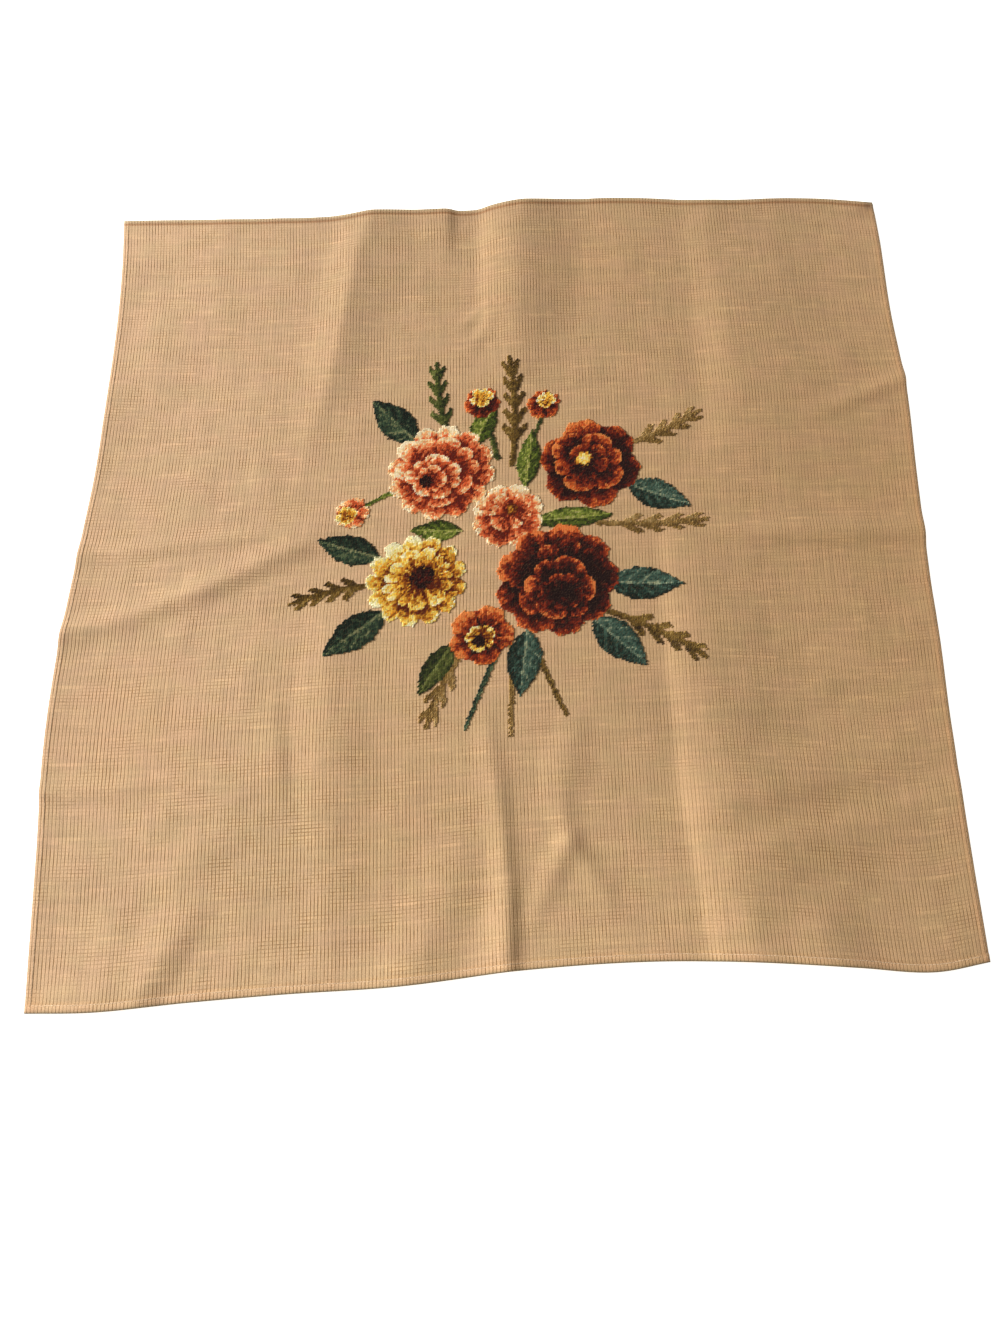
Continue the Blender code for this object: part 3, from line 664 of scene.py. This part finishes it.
def grid_lines(first, last):
    """Places of the grid's lines across the canvas, close together over the hems."""
    def over_hem(width):
        return np.array([*FOLD_PLACES, *(width + end for end in BAND_ENDS)])

    start = -HALF + over_hem(first.width)
    end = HALF - over_hem(last.width)[::-1]
    between = np.linspace(start[-1], end[0], GRID_CELLS + 3 - len(start) - len(end))
    return np.concatenate([start, between[1:-1], end])


def smoothed(height):
    """Rounds the creases a little, as stiff cloth can't fold sharper."""
    for _ in range(SMOOTHING):
        for _ in range(2):
            inner = (height[:-2] + 2 * height[1:-1] + height[2:]) / 4
            height = np.concatenate([height[:1], inner, height[-1:]]).T
    return height


class Cloth:
    """The laid cloth's grid, with the height of its underside and top face at every point."""

    def __init__(self):
        self.across = grid_lines(HEMS["left"], HEMS["right"])
        self.away = grid_lines(HEMS["near"], HEMS["far"])
        self.u, self.v = np.meshgrid(self.across, self.away)
        self.x, self.y = laid_out(self.u, self.v)
        under = smoothed(cloth_height(self.x, self.y)) + hem_curl(self.u, self.v)
        self.under = under + ripples(self.x, self.y)
        self.edge = self.from_edges()
        self.top = self.under + self.thickness()

    def from_edges(self):
        """How far each grid point lies from each side of the canvas."""
        return {
            "near": HALF + self.v,
            "left": HALF + self.u,
            "far": HALF - self.v,
            "right": HALF - self.u,
        }

    def thickness(self):
        """The single cloth, thicker over its folded hems and rounded at their outer folds."""
        folded = np.zeros_like(self.u)
        for side, hem in HEMS.items():
            band_end = [hem.width + BAND_ENDS[0], hem.width + BAND_ENDS[2]]
            folded = np.maximum(folded, np.interp(self.edge[side], band_end, [hem.rise, 0]))
        outer = np.min(list(self.edge.values()), axis=0)
        roundness = np.interp(outer, FOLD_PLACES, FOLD_SHARES)
        return (CLOTH_THICK + folded) * roundness

    def tint(self):
        """The cloth's tint and openness at each grid point: painted shade on the hems' outer folds and
        inner edges, the bands' tone with painted light, and the marks' painted light, shade and patches.
        """
        tint = np.ones((*self.u.shape, 4))
        for side, hem in HEMS.items():
            at = [*BAND_TINT_FROM, *(hem.width + end for end in BAND_ENDS)]
            # Painted shade on the outer fold and along the band's inner edge; the band's tone is partly
            # its own colour, partly painted light
            band, line = hem.band_tint, hem.line_tint
            tones = [hem.fold_tint, band, band, line, line, (1, 1, 1)]
            for channel in range(3):
                values = [tone[channel] for tone in tones]
                tint[..., channel] *= np.interp(self.edge[side], at, values)
        # Marks: painted light and shade over the cloth, and lighter or darker patches
        for mark in MARKS:
            away = np.hypot(self.u - mark.u, self.v - mark.v) / mark.radius
            share = np.clip(1 - away, 0, 1)[..., None]
            tint *= 1 + share**MARK_FADE * (np.array((*mark.tint, mark.open)) - 1)
        return tint

    def surface_at(self, u, v):
        """The top face's height at canvas points, between the grid's own."""
        i = np.clip(np.searchsorted(self.across, u) - 1, 0, GRID_CELLS - 1)
        j = np.clip(np.searchsorted(self.away, v) - 1, 0, GRID_CELLS - 1)
        f = (u - self.across[i]) / (self.across[i + 1] - self.across[i])
        g = (v - self.away[j]) / (self.away[j + 1] - self.away[j])
        near = self.top[j, i] * (1 - f) + self.top[j, i + 1] * f
        far = self.top[j + 1, i] * (1 - f) + self.top[j + 1, i + 1] * f
        return near * (1 - g) + far * g


def piece_from(name, points, faces, material, slot):
    """A mesh piece of the panel, riding on its body."""
    mesh = bpy.data.meshes.new(name)
    mesh.from_pydata(points, [], faces)
    mesh.materials.append(material)
    mesh.shade_smooth()
    piece = bpy.data.objects.new(name, mesh)
    bpy.context.scene.collection.objects.link(piece)
    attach(piece, "root")
    return piece


def point_values(piece, name, kind, values):
    """Stores a vector or colour for every point of a piece, for its material to read."""
    layer = piece.data.attributes.new(name, kind, "POINT")
    field = "vector" if kind == "FLOAT_VECTOR" else "color"
    layer.data.foreach_set(field, np.ascontiguousarray(values, np.float32).ravel())


def grid_faces(count, first, turned):
    """The quads of a square grid of points that starts at number `first`."""
    at = first + np.arange(count * count).reshape(count, count)
    corners = (at[:-1, :-1], at[:-1, 1:], at[1:, 1:], at[1:, :-1])
    quads = np.stack([corner.ravel() for corner in corners], axis=1)
    return quads[:, ::-1].tolist() if turned else quads.tolist()


def rim_of(count, first):
    """The numbers of a grid's outermost points, in a ring from its near left corner."""
    at = first + np.arange(count * count).reshape(count, count)
    return np.concatenate([at[0, :-1], at[:-1, -1], at[-1, :0:-1], at[:0:-1, 0]])


def both_faces(top, under):
    """Values at the points of the fine top face, and then of the coarser underside."""
    under = under[::UNDERSIDE_STEP, ::UNDERSIDE_STEP]
    return np.concatenate([face.reshape(-1, face.shape[-1]) for face in (top, under)])


def make_cloth(cloth):
    """The closed sheet: a fine top face, a coarser underside and the outer fold between them."""
    step = UNDERSIDE_STEP
    top = np.stack([cloth.x, cloth.y, cloth.top], axis=-1)
    under = np.stack([cloth.x, cloth.y, cloth.under], axis=-1)
    points = both_faces(top, under) * MM
    fine = GRID_CELLS + 1
    coarse = GRID_CELLS // step + 1
    faces = grid_faces(fine, 0, False) + grid_faces(coarse, fine * fine, True)
    upper = rim_of(fine, 0)
    lower = rim_of(coarse, fine * fine)
    for i in range(len(lower)):
        j = (i + 1) % len(lower)
        above = [upper[(i * step + k) % len(upper)] for k in range(step, -1, -1)]
        faces.append([int(n) for n in (lower[i], lower[j], *above)])
    piece = piece_from("cloth", points.tolist(), faces, canvas_material(), "canvas")
    place = np.stack([cloth.u + HALF, cloth.v + HALF, cloth.u * 0], axis=-1) / MESH
    tint = cloth.tint()
    point_values(piece, "threads", "FLOAT_VECTOR", both_faces(place, place))
    point_values(piece, "tint", "FLOAT_COLOR", both_faces(tint, tint))
    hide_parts("canvas")
    return piece


# A strand's shape at stations from its start to its end: how far along, how wide and high in
# shares of its own width and rise, and how light it is painted, with painted shade at its ends,
# where it dips into the cloth
StrandStation = namedtuple("StrandStation", "along wide high light")
STRAND = (
    StrandStation(0.0, 0.55, 0.25, 0.74),
    StrandStation(0.26, 1.0, 0.95, 1.08),
    StrandStation(0.74, 1.0, 1.0, 1.14),
    StrandStation(1.0, 0.55, 0.3, 0.8),
)
STRAND_SINK = 0.15
# Painted shade along a strand's sides, where they meet the cloth
SIDE_SHADE = 0.84


def make_strands(name, cloth, starts, ends, widths, rises, colours, material, slot):
    """Short plump strands that lie on the cloth from `starts` to `ends`, joined in one piece."""
    run = ends - starts
    across = np.stack([-run[:, 1], run[:, 0]], axis=1)
    across = across / np.hypot(run[:, 0], run[:, 1])[:, None] * widths[:, None] / 2
    points, lights = [], []
    for station in STRAND:
        middle = starts + run * station.along
        for side in (-1, 0, 1):
            place = middle + across * side * station.wide
            x, y = laid_out(place[:, 0], place[:, 1])
            rise = rises * station.high if side == 0 else -STRAND_SINK
            points.append(np.stack([x, y, cloth.surface_at(*place.T) + rise], axis=1))
            lights.append(station.light * (1 if side == 0 else SIDE_SHADE))
    points = np.stack(points, axis=1) * MM
    # Each point's colour: the dye with the painted light and shade of its station and side
    shades = np.array(lights)[None, :, None] * colours[:, None, :]
    last = 3 * len(STRAND) - 3
    own_faces = [(2, 1, 0), (last, last + 1, last + 2)]
    for station in range(len(STRAND) - 1):
        first = station * 3
        for a, b in ((0, 1), (1, 2), (2, 0)):
            own_faces.append((first + a, first + b, first + 3 + b, first + 3 + a))
    offsets = np.arange(len(starts)) * len(STRAND) * 3
    faces = []
    for own in own_faces:
        faces += (offsets[:, None] + np.array(own)[None, :]).tolist()
    piece = piece_from(name, points.reshape(-1, 3).tolist(), faces, material, slot)
    shades = np.concatenate([shades, np.ones((*shades.shape[:2], 1))], axis=2)
    point_values(piece, "dye_and_shade", "FLOAT_COLOR", shades)
    return piece


def dyed(wool, share):
    """The colour of each stitch, from a wool's darkest shade at 0 to its palest at 1."""
    shades = WOOL_PALER * (np.array(WOOLS[wool]) / 255) ** SCREEN_GAMMA
    number = np.clip(np.floor(share * len(shades)), 0, len(shades) - 1)
    return shades[number.astype(int)]


def paint_bloom(bloom, whorls, heart, draw, u, v, grain):
    """Colours of a bloom's stitches: petals that lighten to their rims, dark between them."""
    heart_u = math.cos(math.radians(heart.turn)) * heart.off * bloom.radius
    heart_v = math.sin(math.radians(heart.turn)) * heart.off * bloom.radius
    colour = np.zeros((len(u), 3))
    bases = [whorl.reach for whorl in whorls[1:]] + [heart.reach]
    for number, (whorl, base) in enumerate(zip(whorls, bases)):
        from_u = u - bloom.x - (1 - whorl.reach) * heart_u
        from_v = v - bloom.y - (1 - whorl.reach) * heart_v
        reach = np.hypot(from_u, from_v) / bloom.radius
        angle = np.arctan2(from_v, from_u)
        if number:
            angle = angle + PETAL_STRAY * np.sin(2 * angle + draw.uniform(0, math.tau))
        sector = ((angle / math.tau + 1) * STREAKS).astype(int) % STREAKS
        phase = (angle - math.radians(whorl.turn)) / math.tau * whorl.petals
        across = np.abs(2 * (phase % 1) - 1)
        petal = phase.astype(int) % whorl.petals
        rim = whorl.reach * (1 - whorl.notch * across**3)
        if number:
            rim = rim * draw.uniform(*PETAL_REACHES, whorl.petals)[petal]
        depth = np.clip((rim - reach) / (whorl.reach - base * PETAL_ROOT), 0, 1)
        share = whorl.rim + (whorl.base - whorl.rim) * depth**PETAL_FADE
        share = share - PETAL_GAP_DARK * across**7 + PETAL_LIGHT * np.cos(angle - LIT_FROM) * reach
        share = share + PETAL_VARIETY * (draw.random(whorl.petals)[petal] - 0.5)
        share = share + STREAK_VARIETY * (draw.random(STREAKS)[sector] - 0.5) + GRAIN * grain
        covered = (reach < rim) | (number == 0)
        colour = np.where(covered[:, None], dyed(whorl.wool, share), colour)
    reach = np.hypot(u - bloom.x - heart_u, v - bloom.y - heart_v) / bloom.radius / heart.reach
    share = heart.shade - HEART_RIM_DARK * reach**2 + GRAIN * grain
    inside = reach < draw.uniform(*HEART_REACHES, STREAKS)[sector]
    return np.where(inside[:, None], dyed(heart.wool, share), colour)


def paint_leaf(leaf, u, v, grain):
    """Colours of a leaf's stitches: one half lighter, darker margins and pale veins."""
    turn = math.radians(leaf.turn)
    along = ((u - leaf.x) * math.cos(turn) + (v - leaf.y) * math.sin(turn)) / leaf.length
    off = (v - leaf.y) * math.cos(turn) - (u - leaf.x) * math.sin(turn)
    half = 0.5 * leaf.width * np.sin(math.pi * np.clip(along, 0.03, 0.97) ** LEAF_FORM)
    across = np.clip(off / half, -1, 1)
    share = LEAF_TONE + LEAF_SIDE_TONE * np.sign(across) - MARGIN_DARK * np.abs(across) ** 4
    side_vein = (along * SIDE_VEINS - np.abs(across) * VEIN_SLANT) % 1 < VEIN_WIDTH
    share = share + VEIN_PALE * side_vein + GRAIN * grain
    on_midrib = (np.abs(off) < MIDRIB_HALF) & (along < MIDRIB_END)
    share = np.where(on_midrib, MIDRIB_TONE + GRAIN * grain, share)
    return dyed(leaf.wool, share)


def paint_spray(spray, u, v, grain):
    """Colours of a spray's stitches: lighter on one side of its stem."""
    reach = np.hypot(u - spray.x, v - spray.y)
    bent = math.radians(spray.turn) + np.radians(spray.bend) * reach / spray.length / 2
    off = reach * np.sin(np.arctan2(v - spray.y, u - spray.x) - bent)
    share = SPRAY_TONE + SPRAY_SIDE_TONE * np.clip(off / 2, -1, 1) + GRAIN * grain
    return dyed(spray.wool, share)


def motifs(draw):
    """Every motif from the top one down: its piece, its outline and how it is painted."""
    for number, bloom in enumerate(BLOOMS):
        piece = BLOOM_PIECES[min(number, len(BLOOM_PIECES) - 1)]
        extra = (bloom, BLOOM_WHORLS[number], BLOOM_HEARTS[number], draw)
        yield piece, bloom_outline(bloom), paint_bloom, extra
    for leaf in reversed(LEAVES):
        piece = "leaves_green" if leaf.wool == "green" else "leaves_dark"
        yield piece, leaf_outline(leaf), paint_leaf, (leaf,)
    for spray in SPRAYS:
        yield "sprays", spray_outline(spray), paint_spray, (spray,)


def make_embroidery(cloth):
    """The bouquet's stitches, gathered into one piece for each bloom or kind of leaf."""
    draw = np.random.default_rng(SEED)
    count = math.ceil(BOUQUET_HALF / STITCH)
    places = (np.arange(-count, count) + 0.5) * STITCH
    u, v = np.meshgrid(places, places)
    taken = np.zeros(u.shape, bool)
    pairs = np.repeat(np.repeat(draw.random((count, count)), 2, axis=0), 2, axis=1)
    grain = (pairs + draw.random(u.shape)) / 2 - 0.5
    stitches = {}
    for piece, outline, paint, extra in motifs(draw):
        ragged = RAGGED * (draw.random(u.shape) - 0.5)
        mine = (depth_inside(outline, u, v) > ragged - EDGE_COVER) & ~taken
        taken |= mine
        colours = paint(*extra, u[mine], v[mine], grain[mine])
        stitches.setdefault(piece, []).append((u[mine], v[mine], colours))
    material = wool_material()
    made = []
    for piece, parts in stitches.items():
        middle_u, middle_v = (np.concatenate([part[i] for part in parts]) for i in (0, 1))
        colours = np.concatenate([part[2] for part in parts])
        total = len(middle_u)
        middle = np.stack([middle_u, middle_v], axis=1) + draw.normal(0, PLACE_STRAY, (total, 2))
        slant = STITCH_SLANT + draw.normal(0, SLANT_STRAY, total)
        half = STITCH / math.sqrt(2) + STITCH_OVERLAP
        reach = np.stack([np.cos(slant), np.sin(slant)], axis=1) * half
        widths = STITCH_WIDTH * draw.uniform(*WIDTH_SHARES, total)
        rises = STITCH_RISE * draw.uniform(*RISE_SHARES, total)
        colours = colours * draw.uniform(*TONE_SHARES, (total, 1))
        ends = (middle - reach, middle + reach)
        made.append(make_strands(piece, cloth, *ends, widths, rises, colours, material, "wool"))
    return made


def make_seam(cloth):
    """The hem's sewing: a row of thread stitches along each side."""
    draw = np.random.default_rng(SEED)
    starts, ends, colours = [], [], []
    for side, hem in HEMS.items():
        line = -HALF + hem.seam if side in ("near", "left") else HALF - hem.seam
        first = np.arange(-HALF + hem.seam, HALF - hem.seam - SEAM_STITCH, SEAM_STITCH + SEAM_GAP)
        first = first + draw.normal(0, SEAM_STRAY[0], len(first))
        strays = line + draw.normal(0, SEAM_STRAY[1], (2, len(first)))
        a = np.stack([first, strays[0]], axis=1)
        b = np.stack([first + SEAM_STITCH, strays[1]], axis=1)
        turned = side in ("left", "right")
        starts.append(a[:, ::-1] if turned else a)
        ends.append(b[:, ::-1] if turned else b)
        colours.append(np.tile(hem.thread, (len(first), 1)))
    starts, ends = np.concatenate(starts), np.concatenate(ends)
    total = len(starts)
    widths = SEAM_WIDTH * draw.uniform(*SEAM_SHARES, total)
    rises = SEAM_RISE * draw.uniform(*SEAM_SHARES, total)
    colours = np.concatenate(colours) * draw.uniform(*SEAM_TONES, (total, 1))
    material = thread_material()
    return make_strands("hem_seam", cloth, starts, ends, widths, rises, colours, material, "thread")


class Nodes:
    """Builds the nodes of one material."""

    def __init__(self, name):
        self.material = bpy.data.materials.new(name)
        self.material.use_nodes = True
        self.tree = self.material.node_tree
        self.shader = self.tree.nodes["Principled BSDF"]

    def add(self, kind, inputs, **settings):
        """A node with its settings and inputs, where an input is a value or another's output."""
        node = self.tree.nodes.new(kind)
        for setting, value in settings.items():
            setattr(node, setting, value)
        for socket, value in inputs.items():
            self.give(node.inputs[socket], value)
        return node

    def give(self, socket, value):
        """Links or sets one socket."""
        if isinstance(value, bpy.types.NodeSocket):
            self.tree.links.new(value, socket)
        else:
            socket.default_value = value

    def maths(self, operation, *values, clamp=False):
        """A Math node's output."""
        inputs = dict(enumerate(values))
        return self.add("ShaderNodeMath", inputs, operation=operation, use_clamp=clamp).outputs[0]

    def times(self, a, b):
        """Two values multiplied."""
        return self.maths("MULTIPLY", a, b)

    def upon(self, base, share, value, clamp=False):
        """A base with a share of another value added."""
        return self.maths("MULTIPLY_ADD", value, share, base, clamp=clamp)

    def centred(self, value):
        """A value less 0.5, which is the middle of noise."""
        return self.maths("SUBTRACT", value, 0.5)

    def place(self, p, q, scales=(1.0, 1.0), layer=0.0):
        """A place in noise, with a scale for each of two directions, in a layer of its own."""
        inputs = {0: self.times(p, scales[0]), 1: self.times(q, scales[1]), 2: layer}
        return self.add("ShaderNodeCombineXYZ", inputs).outputs[0]

    def noise(self, at, scale=1.0, detail=2.0):
        """Smooth noise, about 0.5 in the middle."""
        inputs = {"Vector": at, "Scale": scale, "Detail": detail}
        return self.add("ShaderNodeTexNoise", inputs).outputs[0]

    def ramp(self, value, low, high, to_low=0.0, to_high=1.0):
        """A value spread smoothly from one range over another."""
        inputs = {0: value, 1: low, 2: high, 3: to_low, 4: to_high}
        return self.add("ShaderNodeMapRange", inputs, interpolation_type="SMOOTHSTEP").outputs[0]

    def mix(self, share, a, b, blend="MIX"):
        """A mix of two colours."""
        node = self.add("ShaderNodeMix", {0: share}, data_type="RGBA", blend_type=blend)
        self.give(node.inputs[6], a)
        self.give(node.inputs[7], b)
        return node.outputs[2]

    def grey(self, value):
        """The same value in all three channels."""
        return self.add("ShaderNodeCombineColor", {0: value, 1: value, 2: value}).outputs[0]

    def stored(self, name, output):
        """A value that is stored on the mesh."""
        return self.add("ShaderNodeAttribute", {}, attribute_name=name).outputs[output]

    def finish(self, colour, height, distance, looks):
        """Gives the shader its colour, bump and plain values."""
        bump = self.add("ShaderNodeBump", {"Height": height, "Distance": distance, "Strength": 1.0})
        self.give(self.shader.inputs["Base Color"], colour)
        self.give(self.shader.inputs["Normal"], bump.outputs[0])
        for socket, value in looks.items():
            self.shader.inputs[socket].default_value = value
        return self.material


def canvas_material():
    """Undyed double-thread canvas: pairs of threads each way, with gaps in painted shade, slubs and
    stains.
    """
    nodes = Nodes("undyed canvas")
    split = nodes.add("ShaderNodeSeparateXYZ", {0: nodes.stored("threads", "Vector")})
    p, q = split.outputs[0], split.outputs[1]
    across, away = straying(nodes, p, q), straying(nodes, q, p)
    warp_patches = patches(nodes, p, q, WARP.patches, *WARP_GAPS)
    weft_patches = patches(nodes, p, q, WEFT.patches, *WEFT_GAPS)
    weft_patches = nodes.maths("MAXIMUM", weft_patches, LEAST_WEFT_GAP)
    warp_open = nodes.times(warp_patches, gap_share(nodes, across, away, WARP.gaps))
    weft_open = nodes.times(weft_patches, gap_share(nodes, away, across, WEFT.gaps))
    warp_gap = nodes.times(between_pairs(nodes, across), warp_open)
    weft_gap = nodes.times(between_pairs(nodes, away), weft_open)
    gap = nodes.maths("MAXIMUM", warp_gap, weft_gap)
    # Painted shade, deeper where warp and weft gaps cross
    gap = nodes.upon(gap, CROSSING_SHADE, nodes.times(warp_gap, weft_gap), clamp=True)
    warp_tone = pair_tone(nodes, across, q, WARP.pairs)
    weft_tone = pair_tone(nodes, away, p, WEFT.pairs)
    tone = nodes.maths("ADD", warp_tone, weft_tone)
    tone = nodes.upon(tone, OPEN_PALER, nodes.maths("ADD", warp_open, weft_open))
    slub_place = nodes.place(p, nodes.maths("FLOOR", away), SLUB_SCALES)
    tone = nodes.upon(tone, SLUB_PALER, nodes.ramp(nodes.noise(slub_place, 1.0, 1.0), *SLUBS_FROM))
    fuzz = nodes.noise(nodes.place(p, q), FUZZ_SCALE, 4.0)
    tone = nodes.maths("ADD", tone, nodes.centred(fuzz))
    straw_share = patches(nodes, p, q, COLOUR_LAYER, 0.0, 1.0)
    thread = nodes.mix(straw_share, (*CANVAS_ROSY, 1), (*CANVAS_STRAW, 1))
    # The gaps are painted in shade
    colour = nodes.mix(gap, thread, (*CANVAS_GAP_SHADE, 1))
    colour = nodes.mix(1.0, colour, nodes.grey(tone), "MULTIPLY")
    # The stored tint holds the painted shade and light of the hems and marks, and their patches
    colour = nodes.mix(1.0, colour, nodes.stored("tint", "Color"), "MULTIPLY")
    height = nodes.upon(nodes.maths("SUBTRACT", 1.0, gap), FUZZ_RISE, fuzz)
    looks = {"Roughness": 0.88, "Sheen Weight": 0.12, "Sheen Roughness": 0.6}
    return nodes.finish(colour, height, WEAVE_DEPTH, looks)


def patches(nodes, p, q, layer, low, high):
    """A value from `low` to `high` that changes over the cloth in patches."""
    place = nodes.place(p, q, PATCH_SCALES, layer)
    return nodes.ramp(nodes.noise(place, 1.0, 5.0), *NOISE_SPREAD, low, high)


def pair_tone(nodes, across, along, layer):
    """What one direction's pairs of threads give to the cloth's tone, changing along them."""
    place = nodes.place(nodes.maths("FLOOR", across), along, PAIR_SCALES, layer)
    return nodes.upon(PAIR_TONE, PAIR_VARIETY, nodes.centred(nodes.noise(place, 0.9, 2.0)))


def gap_share(nodes, across, along, layer):
    """How open each gap between threads is, from gap to gap and along it."""
    number = nodes.maths("FLOOR", nodes.maths("ADD", across, 0.5))
    place = nodes.place(number, along, GAP_SCALES, layer)
    own = nodes.ramp(nodes.noise(place, 1.0, 3.0), *NOISE_SPREAD, *SINGLE_GAPS)
    return nodes.times(own, nodes.stored("tint", "Alpha"))


def straying(nodes, across, along):
    """Thread count across the canvas, bent a little along the thread."""
    place = nodes.place(across, along, STRAY_SCALES, STRAY_LAYER)
    return nodes.upon(across, THREAD_STRAY, nodes.centred(nodes.noise(place, 1.0, 3.0)))


def between_pairs(nodes, count):
    """How deep in the gaps between pairs of threads, and a little between a pair's own two."""
    phase = nodes.maths("ABSOLUTE", nodes.centred(nodes.maths("FRACT", count)))
    own_gap = nodes.ramp(phase, 0.0, PAIR_PARTED, PAIR_SHADE, 0.0)
    return nodes.maths("MAXIMUM", nodes.ramp(phase, *GAP_FROM), own_gap)


def strand_material(name, ply, depth, looks):
    """Spun strands in their stored colours, which hold painted shade at their ends and sides, with the
    twist of their plies.
    """
    nodes = Nodes(name)
    place = nodes.add("ShaderNodeTexCoord", {}).outputs["Object"]
    split = nodes.add("ShaderNodeSeparateXYZ", {0: place})
    slanted = nodes.upon(split.outputs[1], PLY_SLANT, split.outputs[0])
    twist = nodes.maths("SINE", nodes.times(slanted, math.tau / ply))
    fuzz = nodes.noise(place, 1 / ply, 3.0)
    tone = nodes.upon(1.0, STRAND_FUZZ, nodes.centred(fuzz))
    colour = nodes.mix(1.0, nodes.stored("dye_and_shade", "Color"), nodes.grey(tone), "MULTIPLY")
    return nodes.finish(colour, nodes.upon(fuzz, PLY_RISE, twist), depth, looks)


def wool_material():
    """Dyed tapestry wool."""
    looks = {"Roughness": 0.92, "Sheen Weight": 0.1, "Sheen Roughness": 0.5}
    return strand_material("tapestry wool", ply=0.0005, depth=0.0001, looks=looks)


def thread_material():
    """Pale cotton sewing thread."""
    looks = {"Roughness": 0.75, "Sheen Weight": 0.1}
    return strand_material("sewing thread", ply=0.0003, depth=0.00005, looks=looks)


def make_floor():
    """A plain white table."""
    half = FLOOR_HALF
    corners = [(-half, -half, 0), (half, -half, 0), (half, half, 0), (-half, half, 0)]
    mesh = bpy.data.meshes.new("table")
    mesh.from_pydata(corners, [], [(0, 1, 2, 3)])
    nodes = Nodes("table")
    grain = nodes.noise(nodes.add("ShaderNodeTexCoord", {}).outputs["Object"], FLOOR_GRAIN)
    colour = nodes.grey(nodes.ramp(grain, *NOISE_SPREAD, *FLOOR_TONES))
    looks = {"Roughness": 0.8, "Emission Color": (1, 1, 1, 1), "Emission Strength": FLOOR_GLOW}
    mesh.materials.append(nodes.finish(colour, grain, FLOOR_DEPTH, looks))
    floor = bpy.data.objects.new("table", mesh)
    floor.location.z = -FLOOR_GAP
    bpy.context.scene.collection.objects.link(floor)
    floor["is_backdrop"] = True


def make_lights():
    """A soft lamp like a window, low on the far left, and pale light from all round."""
    light = bpy.data.lights.new("window", "AREA")
    light.shape = "DISK"
    light.size = LAMP_SIZE
    light.energy = LAMP_POWER
    light.color = LAMP_COLOUR
    holder = bpy.data.objects.new("window", light)
    holder.location = LAMP_PLACE
    holder.rotation_mode = "QUATERNION"
    holder.rotation_quaternion = holder.location.to_track_quat("Z", "Y")
    bpy.context.scene.collection.objects.link(holder)
    world = bpy.data.worlds.new("room")
    world.use_nodes = True
    world.node_tree.nodes["Background"].inputs["Color"].default_value = (*ROOM_COLOUR, 1)
    world.node_tree.nodes["Background"].inputs["Strength"].default_value = ROOM_STRENGTH
    bpy.context.scene.world = world
    bpy.context.scene.view_settings.view_transform = "Standard"


def make_camera():
    """The camera of the photograph, above the panel's near edge."""
    camera = bpy.data.cameras.new("camera")
    camera.sensor_width = SENSOR
    camera.lens = CAMERA_FOCUS / PICTURE_HEIGHT * SENSOR
    holder = bpy.data.objects.new("camera", camera)
    turn = Matrix.Rotation(CAMERA_YAW, 4, "Z")
    turn = turn @ Matrix.Rotation(CAMERA_TILT, 4, "X") @ Matrix.Rotation(CAMERA_ROLL, 4, "Z")
    holder.matrix_world = Matrix.Translation(CAMERA_PLACE) @ turn
    bpy.context.scene.collection.objects.link(holder)
    bpy.context.scene.camera = holder


def keep_size():
    """Works out the box of the solids and of what is shown, as plain lists."""
    boxes = {"cad": cad_box, "visual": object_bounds()}
    plain = {name: [list(corner) for corner in box] for name, box in boxes.items()}


make_camera()
make_lights()
make_floor()
laid = Cloth()
sheet = make_cloth(laid)
sewn = make_embroidery(laid) + [make_seam(laid)]
keep_size()
